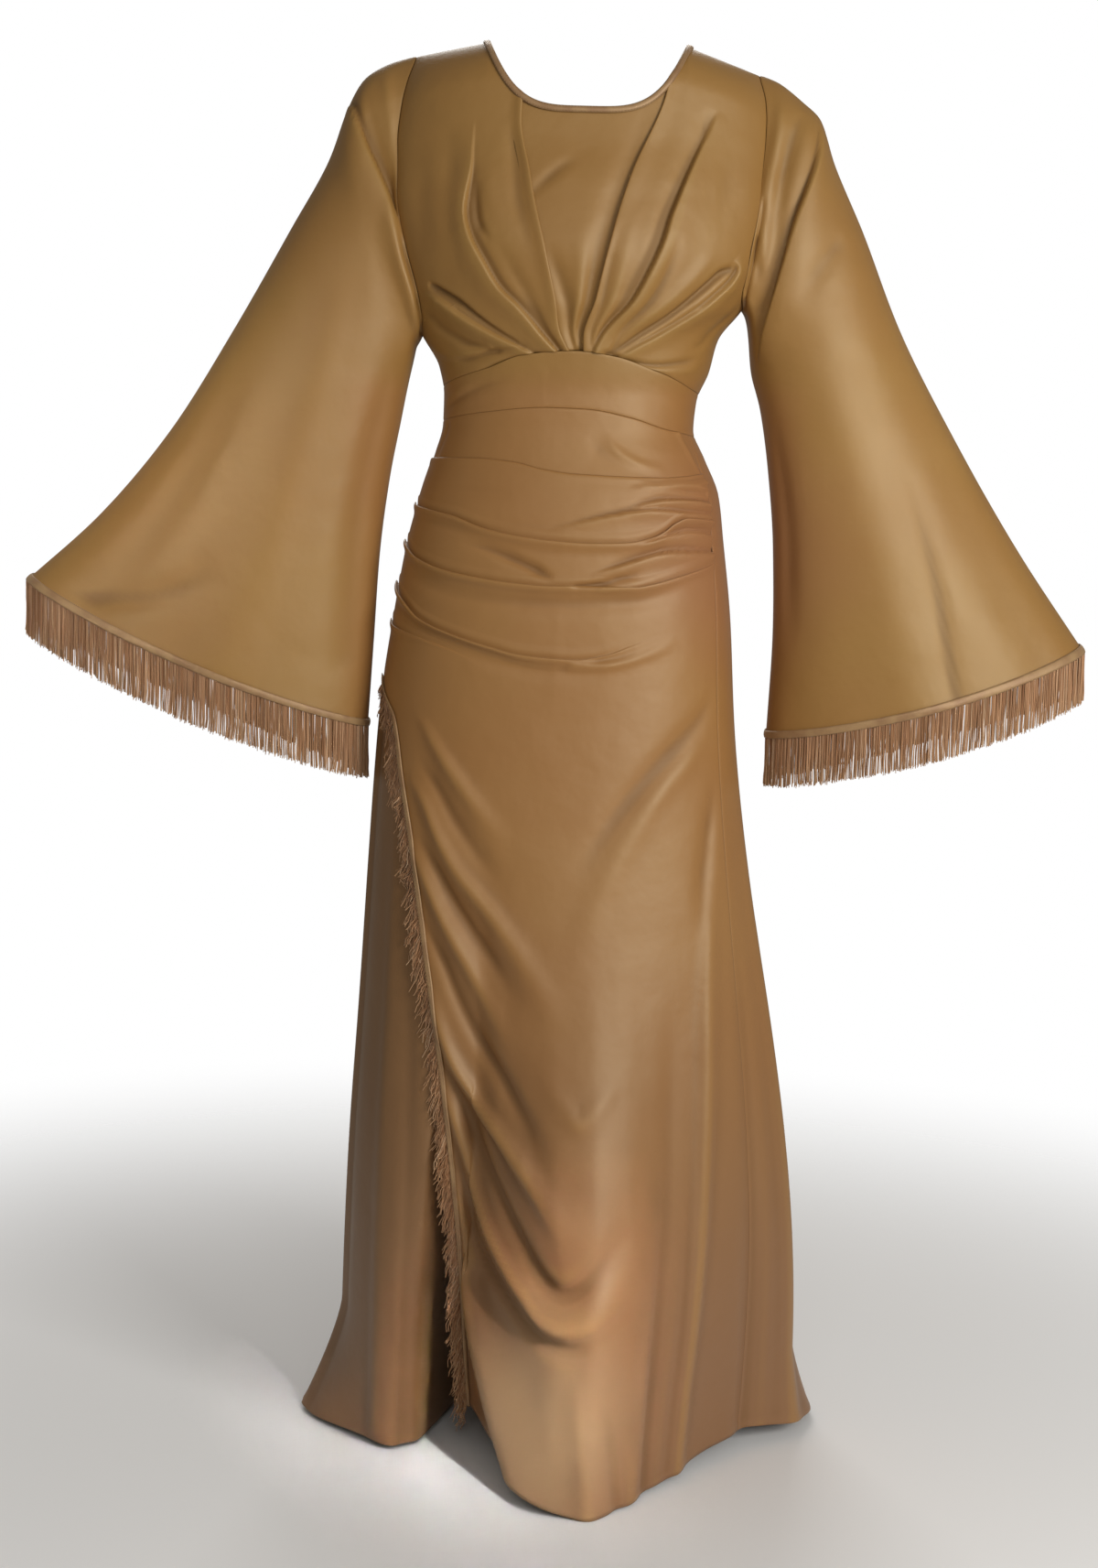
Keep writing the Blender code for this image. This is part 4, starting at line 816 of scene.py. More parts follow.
def bodiceFront(side):
    table = insertLeft if side < 0 else insertRight
    innerTurn = table["turn"][-1]
    neckEnd = float(np.interp(table["turn"][0], neckTurns, neckRounds))
    tip = armhole(0.0, side)[0]
    share = bodice["shoulderShare"][side]
    neckPoint = neckEdge(side * 90.0)[0]

    def top(part):
        if side < 0:
            onShoulder = part <= share
            roundNeck = -90 + (neckEnd + 90) * np.clip((part - share) / (1 - share), 0, 1)
            shoulderTurn = tip + (neckPoint - tip) * np.clip(part / share, 0, 1)
        else:
            onShoulder = part >= share
            roundNeck = neckEnd + (90 - neckEnd) * np.clip(part / share, 0, 1)
            shoulderTurn = neckPoint + (tip - neckPoint) * np.clip((part - share) / (1 - share), 0, 1)
        neckTurn, neckDrop = neckEdge(roundNeck)
        return np.where(onShoulder, shoulderTurn, neckTurn), np.where(onShoulder, 0.0, neckDrop)

    bottom = acrossLine(bandTop, *((-90, innerTurn) if side < 0 else (innerTurn, 90)))
    edges = (bodiceSide(side), insertEdge(table)) if side < 0 else (insertEdge(table), bodiceSide(side))
    places = patch(bottom, top, *edges, fineEdges(*bodice["columns"]), bodiceRows)
    folds = bodice["leftFolds"] if side < 0 else bodice["rightFolds"]
    fromInsert = lengths(wornPlace(*places), 1)
    if side < 0:
        fromInsert = fromInsert[:, -1:] - fromInsert
    past = np.maximum(fromInsert - bodice["edgeLipStarts"], 0)
    lip = bodice["edgeLip"][side] * np.exp(-(past / bodice["edgeLipFades"][side]) ** 2)
    out = lip * (.55 + .45 * ease(fromInsert / bodice["edgeLipRolls"]))
    word, node = ("Left", "bodice_front_left") if side < 0 else ("Right", "bodice_front_right")
    clothPanel("bodiceFront" + word, node, places, folds, out=out,
               seams="lb" if side < 0 else "rb", side=-1)


def bodiceInsert():
    low, high = (float(np.interp(t["turn"][0], neckTurns, neckRounds)) for t in (insertLeft, insertRight))

    def top(part):
        return neckEdge(low + (high - low) * part)

    bottom = acrossLine(bandTop, insertLeft["turn"][-1], insertRight["turn"][-1])
    turn, drop = patch(bottom, top, insertEdge(insertLeft), insertEdge(insertRight),
                       np.linspace(0, 1, bodice["insertColumns"]), bodiceRows)
    under = bodice["insertUnder"] * np.linspace(-1, 1, bodice["insertColumns"])
    places = turn + under, drop  # its edges lie under both panels
    clothPanel("bodiceInsert", "bodice_front_centre", places, bodice["insertFolds"],
               out=-bodice["insertSunk"], seams="b", side=-1)


def bodiceBack():
    rightTip, leftTip = armhole(0.0, 1)[0], armhole(0.0, -1)[0]
    rightNeck, leftNeck = backNeckTurns[-1], backNeckTurns[0]
    shares = bodice["backShares"]

    def top(part):
        part = np.asarray(part, float)
        roundNeck = 90 - 180 * np.clip((part - shares[1]) / (shares[2] - shares[1]), 0, 1)
        turn = np.interp(part, shares, (180 - rightTip, 180 - rightNeck, 180 - leftNeck, 180 - leftTip))
        inNeck = (part > shares[1]) & (part < shares[2])
        return (np.where(inNeck, 180 - np.interp(roundNeck, neckRounds, backNeckTurns), turn),
                np.where(inNeck, np.interp(roundNeck, neckRounds, backNeckDrops), 0.0))

    def sideEdge(side):
        front = bodiceSide(side)

        def edge(part):
            turn, drop = front(part)
            return 180 - turn, drop
        return edge

    places = patch(acrossLine(bandTop, 90, 270), top, sideEdge(1), sideEdge(-1),
                   fineEdges(*bodice["backColumns"]), fineEdges(*bodice["backRows"]))
    clothPanel("bodiceBack", "bodice_back", places, bodice["backFolds"], seams="lrb", side=1)


binding = {
    "width": .007, "starts": .0002, "rows": 7, "columns": 240, "proud": .0019, "round": .0012, "wall": .0010,
}


def neckBinding():
    rounds = np.linspace(-90, 270, binding["columns"] + 1)[:-1]
    isFront = rounds <= 90
    rows = []
    for share in np.linspace(1, 0, binding["rows"]):
        widen = binding["starts"] + (binding["width"] - binding["starts"]) * share
        front = neckPlace(np.clip(rounds, -90, 90), widen, neckline["frontDrop"])
        back = neckPlace(np.clip(180 - rounds, -90, 90), widen, neckline["backDrop"])
        turn = np.where(isFront, front[0], 180 - back[0])
        drop = np.where(isFront, front[1], back[1])
        proud = binding["proud"] + binding["round"] * (1 - (2 * share - 1) ** 2)
        rows.append(wornPlace(turn, drop) + outwardOf(wornPlace, turn, drop) * proud)
    points = np.array(rows)
    piece = giveWall(gridMesh("neckBinding", points, closed=True, material=looks["trim"]), binding["wall"])
    finishPiece(piece, "trim", "neck_binding")
    return points


bodiceFront(-1)
bodiceFront(1)
bodiceInsert()
bodiceBack()
neckPoints = neckBinding()
print("bodice made")


# Waistband and yoke

band = {
    "columns": (150, .37),
    "rows": (24, .055),
    "frontFolds": [
        fold([-86, -62, -40, -24], [-395, -377, -362, -352], [0, -1.6, -1.4, 0], [4, 5, 5, 6]),
        fold([-82, -60, -42], [-384, -368, -356], [0, 1.4, 0], [4, 5, 5]),
        fold([30, 52, 74], [-362, -378, -392], [0, 1.2, .6], [7, 8, 7]),
        fold([-12, -11], [-345, -372], [.4, 0], [3]),
    ],
    "backFolds": [
        fold([120, 150, 176], [-372, -376, -381], [0, 1, 0], [6, 7, 6]),
        fold([196, 224, 248], [-372, -380, -384], [0, -1, 0], [6, 7, 6]),
    ],
}


def bandHeights(turn):
    return tuple(float(follow(table, "turn", "height", turn)) for table in (bandBottom, bandTop))


def waistband(name, node, fromTurn, toTurn, folds, side):
    places = patch(acrossLine(bandBottom, fromTurn, toTurn), acrossLine(bandTop, fromTurn, toTurn),
                   uprightLine(fromTurn, *bandHeights(fromTurn)), uprightLine(toTurn, *bandHeights(toTurn)),
                   fineEdges(*band["columns"]), fineEdges(*band["rows"]))
    clothPanel(name, node, places, folds, side=side)


yoke = {
    "columns": (140, .33),
    "rows": (26, .055),
    "folds": [
        fold([17, 18, 26, 40], [-405, -422, -437, -446], [0, 1.8, 2, 0], [5, 5, 5, 6]),
        fold([10, 12, 20], [-405, -424, -442], [0, -1.2, 0], [7, 8, 8]),
        fold([-70, -74], [-402, -430], [-1.4, -1], [4, 5]),
        fold([58, 63], [-404, -446], [1.4, 1], [4]),
    ],
}


def skirtYoke():
    topTurn, lowTurn = rightSeam["turn"][:2]
    places = patch(acrossLine(wrapTop, -90, lowTurn), acrossLine(bandBottom, -90, topTurn),
                   uprightLine(-90, wrapTop["height"][0], bandBottom["height"][0]),
                   downLine(rightSeam, rightSeam["height"][1], bandHeights(topTurn)[0]),
                   fineEdges(*yoke["columns"]), fineEdges(*yoke["rows"]))
    clothPanel("skirtYoke", "skirt_yoke_front", places, yoke["folds"], seams="lrt", side=-1)


waistband("waistbandFront", "waistband_front", -90, 90, band["frontFolds"], -1)
waistband("waistbandBack", "waistband_back", 90, 270, band["backFolds"], 1)
skirtYoke()
print("waistband and yoke made")


# Skirt

wrap = {
    "columns": 148,
    "lowRows": 168,
    "slitEdge": [0, .0012, .0045, .0095, .0150, .0200],  # the slit band lies on these columns
    "middle": (.0255, .985),
    "seamEdge": [.9895, .9935, .9972, 1],
    # under the yoke's edge, in m: how far below it each row lies and how far it stands out
    "topRows": [(0, .0008), (.0006, .0018), (.0020, .0024), (.0050, .0022), (.0090, .0016)],
    "plainRows": .0024,  # between the pleats
    "pleatRoom": .030,  # pleats closer than this are squeezed
    "fullLip": .0030,  # a lower lip is flatter
    "tuckMost": .0010,
    # the pleats' lips over the hips, from seam to seam: turns, heights, and how far each stands out
    "pleats": [
        ([-90, -46, -28, -14, -5, 7, 20, 31, 36, 41, 47, 66],
         [-486, -497, -510, -517, -520, -522, -521, -515, -509, -500, -495, -497],
         [3.2, 3.8, 4, 4, 4, 3.8, 3.4, 3, 3, 3, 3, 2.4]),
        ([-90, -79, -60, -44, -28, -16, -4, 10, 24, 30, 40, 56, 66],
         [-526, -530, -544, -554, -561, -565, -567, -566, -567, -564, -557, -546, -540],
         [3.6, 4, 4.8, 5, 5, 5, 5, 4.8, 4.4, 4, 3, 1.6, .8]),
        ([-90, -66, -53, -38, -20, -12, -2, 6, 15, 24, 40, 66],
         [-571, -590, -606, -619, -633, -639, -642, -643, -637, -626, -610, -592],
         [4, 4.8, 5.2, 5.4, 5, 4.6, 4, 2.8, 1.4, .6, 0, 0]),
        ([-90, -80, -56, -40, -20, 0, 66],
         [-612, -616, -624, -633, -652, -668, -632],
         [2.6, 2.6, 2, 1, 0, 0, 0]),
    ],
    # down from a lip, in mm: how far below its line each row lies and its share of the lip's height
    "lipRows": [(2.0, .8, .25), (-.2, 1.6, .58), (-.7, 2.4, .84), (-.1, 3.2, 1.0), (1.2, 4.0, 1.05),
                (2.8, 4.9, .98), (4.6, 6.0, .80), (6.4, 7.4, .54), (8.4, 9.0, .30), (10.8, 11.0, .12),
                (14.0, 14.0, .03)],
    # above a lip the cloth goes in under it: how far above its line, and its depth in mm
    "tuckRows": [(7.5, .9), (4.0, .55), (1.6, .15), (-1.6, -.5)],
    "folds": [
        # short pleats and creases at the right seam and along the pleats
        pleat([70, 58, 44, 30, 20], [-453.5, -454.5, -456, -459, -464], [3, 3.4, 3, 2, 0],
              [1.2, 1.6, 1.6, 1.2, 0], [9, 9, 9, 8, 7], [3], 1),
        fold([62, 48, 36], [-468, -466, -466], [-1.6, -2.4, 0], [3]),
        pleat([70, 58, 46, 34, 26, 20], [-480, -476, -474.5, -475.5, -480, -486],
              [2.6, 4, 4.4, 4, 2.4, 0], [1.4, 2.2, 2.6, 2.4, 1.6, 0], [9, 10, 11, 10, 9, 7],
              [5, 5, 5, 4, 4, 3], 1),
        pleat([70, 52, 38, 28, 18, 6, -6], [-493, -489, -486.5, -486.5, -490, -498.5, -509],
              [2, 3, 3.4, 3.2, 2.8, 1.8, 0], [2, 2.4, 2.4, 2.2, 2, 1.2, 0], [10, 10, 10, 10, 9, 8, 8],
              [6], 1),
        fold([4, 12, 18, 26], [-566.5, -563, -558, -550.5], [-2, -4, -3, 0], [3, 3.4, 3.6, 4.5]),
        fold([12, 22, 34], [-571, -565.5, -556], [1, 1.6, 0], [4, 4, 5]),
        pleat([70, 54, 42, 34, 26, 18, 8], [-530, -529, -528.5, -530, -536, -544, -554],
              [2.4, 3.4, 4, 4, 3.6, 2.4, 0], [1.6, 2.6, 3, 3, 2.6, 1.8, 0], [9, 11, 12, 12, 11, 10, 9],
              [6, 7, 7, 7, 6, 6, 5], 1),
        pleat([66, 54, 42, 32, 24], [-512, -508.5, -509, -516.5, -523], [1.6, 2.6, 3, 2.4, 0],
              [1.4, 2, 2.2, 1.6, 0], [9, 10, 10, 9, 8], [6, 6, 6, 5, 5], 1),
        fold([2, 12, 24], [-644.5, -642.5, -634], [0, -2, 0], [2.6, 3.2, 5]),
        fold([4, 16, 30, 40], [-650, -647.5, -634, -620], [2.2, 2.8, 1.6, 0], [4.5, 5, 6, 7]),
        fold([-66, -40, -10, 6], [-500, -507, -506, -503], [0, -1.2, -1, 0], [6, 8, 8, 7]),
        fold([-75, -40, -12], [-463, -468, -470], [0, -1.4, 0], [7, 8, 8]),
        fold([-38, -27, -18, -9, -5], [-524.5, -530, -538.5, -550, -557], [0, -2.6, -4.2, -4.4, -2],
             [4, 5, 5.5, 5, 4]),
        fold([34, 50, 66], [-457, -456, -460], [0, -1.2, -1.6], [3]),
        fold([-76, -58, -36, -10, 20, 44], [-556, -566, -579, -585, -583, -570],
             [0, -1.8, -2.6, -3, -2.6, 0], [7, 8, 9, 10, 10, 10]),
        fold([-84, -60, -36, -10, 14], [-590, -612, -634, -654, -655], [0, -1.6, -2.4, -2.4, 0],
             [6, 7, 8, 8, 8]),
        fold([-2, -1, -1, 0], [-575, -615, -660, -720], [0, .35, .35, 0], [4, 5, 6, 8]),
        # the cowl folds down from the open edge, each ridge with the hollow above it
        fold([-47, -39, -33, -26, -20, -14], [-706, -735, -759, -788, -815, -845],
             [0, 3.8, 5.5, 5, 3, 0], [6, 8, 9, 10, 12, 13]),
        fold([-47, -38, -30, -22, -13], [-750, -778, -815, -850, -890], [0, -3, -4, -3.4, 0],
             [6, 7, 8, 10, 12]),
        fold([-50, -42, -36, -29, -23, -18, -12, -6, -1],
             [-772, -797, -832, -868, -892, -913, -945, -985, -1030],
             [0, 3.8, 5.4, 6.8, 7.8, 7.8, 6, 3.4, 0], [6, 7, 8, 9, 10, 11, 13, 15, 16]),
        fold([-44, -36, -30, -23.5, -17, -10], [-832, -868, -900, -932, -965, -1010],
             [0, -3.6, -5.2, -5.6, -4, 0], [5, 6, 7, 7.5, 9, 12]),
        fold([-47, -40, -34, -28, -22, -17, -11], [-842, -880, -915, -949, -985, -1020, -1062],
             [0, 4.4, 7, 8, 6.8, 4, 0], [5, 7, 8, 9, 10, 12, 13]),
        fold([-41, -33, -27, -21, -14, -8, -3], [-918, -965, -1010, -1048, -1090, -1135, -1180],
             [0, -4.6, -5.6, -6.2, -6.6, -5, 0], [5, 7, 8, 9, 10, 12, 14]),
        fold([-37, -33, -28, -21.5, -15, -10, -5, -1, 3],
             [-995, -1040, -1078, -1111, -1142, -1172, -1202, -1228, -1252],
             [0, 6.5, 10.5, 12.5, 12.5, 10.4, 6.4, 3, 0], [6, 7.5, 8.5, 9, 9.5, 11, 13, 14, 15], -.2),
        fold([-31, -24.5, -17, -10, -5, 0, 5, 10, 16],
             [-1078, -1124, -1190, -1248, -1281, -1294, -1284, -1255, -1210],
             [0, -4.4, -6, -8, -8.8, -8.6, -6, -3, 0], [5, 7, 9, 10, 10, 10, 12, 14, 16]),
        fold([-32, -27.5, -22.5, -18, -14.5, -9, -3, 3, 9, 16],
             [-1100, -1141, -1190, -1235, -1265, -1300, -1326, -1328, -1312, -1275],
             [0, 6.5, 10, 12, 12.6, 12.6, 12, 8, 3.6, 0], [6, 7.5, 8.5, 9, 9, 10, 11, 13, 16, 19], -.2),
        fold([-28, -22.5, -18.5, -12, -6, 1, 8], [-1180, -1240, -1281, -1318, -1342, -1352, -1345],
             [0, -4, -6, -6, -6, -5.6, 0], [5, 6, 6.5, 7, 8, 9, 12]),
        fold([-27, -24, -22, -19.5, -17, -15, -12.5, -9.5, -6],
             [-1205, -1258, -1298, -1340, -1378, -1404, -1440, -1480, -1525],
             [2, 9, 16, 20, 22, 23, 23, 22, 20], [6, 11, 19, 24, 27, 29, 31, 32, 33], -.45),
        fold([4.5, 5, 6, 7], [-1385, -1430, -1470, -1525], [0, 3.4, 4.6, 4.8], [8, 10, 11, 12]),
        fold([9, 11, 12.5], [-1395, -1445, -1525], [0, -3.4, -4.4], [8, 11, 12]),
        fold([-7, 0, 4, 9, 15], [-1062, -1103, -1122, -1104, -1068], [0, 1.8, 3.4, 1.8, 0],
             [10, 11, 11, 11, 12]),
        # right half
        fold([60, 50, 36, 21, 12, 6], [-672, -705, -742, -793, -836, -880], [0, -3, -4.2, -4, -2.4, 0],
             [9, 11, 13, 14, 16, 18]),
        fold([52, 42, 31, 18, 9, 4], [-728, -752, -782, -845, -915, -985], [0, 2.4, 3.4, 3.2, 2, 0],
             [9, 11, 13, 16, 18, 20]),
        fold([57, 52, 47, 44], [-770, -816, -870, -940], [0, -4, -4, 0], [8, 10, 12, 14]),
        fold([52, 46, 41, 37, 33.5, 30.5, 28, 26, 24.5],
             [-850, -930, -1010, -1105, -1200, -1290, -1370, -1440, -1525],
             [0, 3.6, 6, 7, 7.2, 6.8, 6.6, 6.2, 6], [10, 11, 13, 13, 12, 12, 12, 13, 14], -.15),
        fold([30, 26.5, 24, 21, 19, 18], [-1000, -1110, -1220, -1330, -1430, -1525],
             [0, -2.6, -3.6, -4.4, -5, -5.4], [12, 15, 16, 16, 16, 16]),
    ],
}
seamFolds = [  # hollows that cross the right seam, on the wrap front and the back alike
    fold([61, 57, 53, 49, 46], [-900, -1050, -1200, -1350, -1525], [0, -4, -6, -7, -7],
         [11, 14, 15, 16, 17]),
]


def hemRoll(fromHem):  # the turned edge along a hem
    return .0007 * np.exp(-((fromHem - .003) / .004) ** 2)


def pleatRows(across):
    turns = -90 + (rightSeam["turn"][1] + 90) * across
    lines = [(follow(wrapTop, "turn", "height", turns), None)]
    for lineTurns, heights, depths in wrap["pleats"]:
        line = through(lineTurns, np.array(heights) / 1000, turns)
        lines.append((line, through(lineTurns, depths, turns) / 1000))
    rows = [(lines[0][0] - below, np.full_like(turns, out)) for below, out in wrap["topRows"]]
    stood = rows[-1][1]
    below = [line for line, _ in lines[2:]] + [lines[-1][0] - .05]
    for (above, _), (line, depth), nextLine in zip(lines, lines[1:], below):
        gap = above - line
        start = rows[-1][0]
        lips = ease(depth / wrap["fullLip"])
        squeeze = np.minimum(1.0, gap / wrap["pleatRoom"])
        room = np.minimum(1.0, (line - nextLine) / wrap["pleatRoom"])
        firstTuck = line + wrap["tuckRows"][0][0] / 1000 * squeeze
        between = max(1, int(round(float(np.mean(start - firstTuck)) / wrap["plainRows"])))
        for part in np.linspace(0, 1, between + 1)[1:-1]:
            settled = stood * (1 - .45 * part)
            rows.append((start + (firstTuck - start) * part, settled))
        settled = stood * .5
        for up, deep in wrap["tuckRows"]:
            share = max(up, 0) / wrap["tuckRows"][0][0]
            reach = up if up > 0 else up * lips
            inward = deep / 1000 * lips
            keptOut = settled * (share * lips + (1 - lips))
            rows.append((line + reach / 1000 * squeeze, keptOut + np.minimum(inward, wrap["tuckMost"])))
        for below, flat, share in wrap["lipRows"]:
            reach = below * lips + flat * (1 - lips)
            lower = line - reach / 1000 * np.minimum(squeeze, room)
            rows.append((lower, depth * share + settled * (1 - lips)))
        stood = depth * wrap["lipRows"][-1][2] + settled * (1 - lips)
    return turns, rows


def wrapFront():
    inside = wrap["columns"] - len(wrap["slitEdge"]) - len(wrap["seamEdge"])
    across = np.concatenate([wrap["slitEdge"], np.linspace(*wrap["middle"], inside), wrap["seamEdge"]])
    topTurns, rows = pleatRows(across)
    heights, outs = np.array([r[0] for r in rows]), np.array([r[1] for r in rows])
    turns = np.broadcast_to(topTurns, heights.shape).copy()
    seam = follow(rightSeam, "height", "turn", heights[:, -1])
    turns += (seam - topTurns[-1])[:, None] * across ** 2
    first = heights[-1]
    lowTurns, lowHeights, lowOuts = [], [], []
    hemTurns = slitLine["turn"][-1] + (rightSeam["turn"][-1] - slitLine["turn"][-1]) * across
    hemHeights = follow(hemLine, "turn", "height", hemTurns)
    for part in np.linspace(0, 1, wrap["lowRows"] + 1)[1:]:
        slitHeight = first[0] + (slitLine["height"][-1] - first[0]) * part
        left = float(follow(slitLine, "height", "turn", slitHeight))
        height = first + (hemHeights - first) * part
        right = float(follow(rightSeam, "height", "turn", height[-1]))
        lowTurns.append(left + (right - left) * across)
        lowHeights.append(height)
        lowOuts.append(outs[-1] * (1 - ease(part * 9)))
    turn = np.vstack([turns, lowTurns])[::-1]
    height = np.vstack([heights, lowHeights])[::-1]
    out = np.vstack([outs, lowOuts])[::-1]
    places = turn, ringDrop(height)
    out = out + hemRoll(lengths(wornPlace(*places), 0))
    return clothPanel("skirtWrapFront", "skirt_front_drape", places, wrap["folds"] + seamFolds, out=out,
                      seams="r", side=-1, keep="lrb")


under = {
    "columns": (56, .17),
    "rows": (110, .87),
    "top": -.651,
    "hem": -1.518,
    "past": 16,  # how far it goes behind the wrap front, in degrees
    "ends": -8,
    "sunk": .0068,
    "folds": [
        fold([-58, -56, -55, -54], [-780, -950, -1200, -1500], [0, 3, 4.5, 5.5], [11, 13, 15, 17]),
        fold([-48, -45, -42, -40], [-860, -1050, -1250, -1510], [0, -3, -5, -6.5], [10, 12, 14, 15]),
    ],
}


def underFront():
    u, v = np.meshgrid(fineEdges(*under["columns"]), fineEdges(*under["rows"]))
    height = under["hem"] + (under["top"] - under["hem"]) * v
    slit = follow(slitLine, "height", "turn", height)
    turn = -90 + (np.minimum(slit + under["past"], under["ends"]) + 90) * u
    out = -under["sunk"] * ease((turn + 90) / 6)
    clothPanel("skirtUnderLayer", "skirt_under_front", (turn, ringDrop(height)), under["folds"],
               hem=underHemPlan, out=out, seams="l", side=-1, slot="under_layer")


backSkirt = {
    "columns": (150, .62),
    "rows": (150, 1.12),
    "folds": [
        fold([78, 75, 72, 68, 66], [-750, -950, -1150, -1350, -1510], [0, 4.5, 7.5, 9, 9.5],
             [13, 16, 18, 20, 21]),
        fold([96, 98, 101, 106], [-620, -860, -1150, -1505], [0, -4.5, -7.5, -9], [14, 19, 23, 24]),
        fold([108, 110, 113, 118], [-470, -700, -1000, -1500], [0, 2.5, 5, 5.5], [10, 14, 16, 18]),
        fold([122, 121, 123, 128], [-440, -700, -1000, -1505], [0, 4, 7.5, 9.5], [11, 18, 24, 27]),
        fold([133, 134, 137], [-420, -560, -760], [-1.5, -2.5, 0], [6, 8, 10]),
        fold([142, 144, 148, 152], [-520, -850, -1180, -1505], [0, -6, -9.5, -11], [12, 20, 25, 27]),
        fold([160, 160, 161], [-430, -620, -820], [0, 2.2, 0], [8, 10, 12]),
        fold([168, 170, 173, 176], [-500, -850, -1180, -1505], [0, 5.5, 8.5, 10], [14, 23, 28, 31]),
        fold([184, 185, 185], [-410, -560, -700], [-1.2, -2.2, 0], [6, 8, 10]),
        fold([196, 196, 196, 196], [-540, -850, -1180, -1505], [0, -6, -9.5, -11], [13, 21, 26, 28]),
        fold([208, 207, 206, 206], [-430, -640, -860, -1120], [0, 2.6, 3, 0], [8, 11, 13, 15]),
        fold([222, 220, 218, 216], [-480, -800, -1150, -1505], [0, 5.5, 9, 11], [11, 19, 24, 27]),
        fold([234, 233, 231], [-420, -580, -760], [-1.4, -2.6, 0], [6, 8, 10]),
        fold([246, 244, 241, 238], [-560, -850, -1180, -1505], [0, -5, -7.5, -9], [12, 18, 22, 24]),
    ],
}


def skirtBack():
    u, v = np.meshgrid(fineEdges(*backSkirt["columns"]), fineEdges(*backSkirt["rows"]))
    topTurn = rightSeam["turn"][0] + (270 - rightSeam["turn"][0]) * u
    topHeight = follow(bandBottom, "turn", "height", topTurn)
    lowTurn = rightSeam["turn"][-1] + (270 - rightSeam["turn"][-1]) * u
    height = follow(hemLine, "turn", "height", lowTurn)
    fromHem = (topHeight - height) * v
    height = height + fromHem
    seam = follow(rightSeam, "height", "turn", height[:, 0])[:, None]
    turn = seam + (270 - seam) * u
    clothPanel("skirtBack", "skirt_back", (turn, ringDrop(height)), backSkirt["folds"] + seamFolds,
               out=hemRoll(fromHem), seams="lrt")


wrapPoints, wrapOutward = wrapFront()
underFront()
skirtBack()
print("skirt made")


# Sleeves

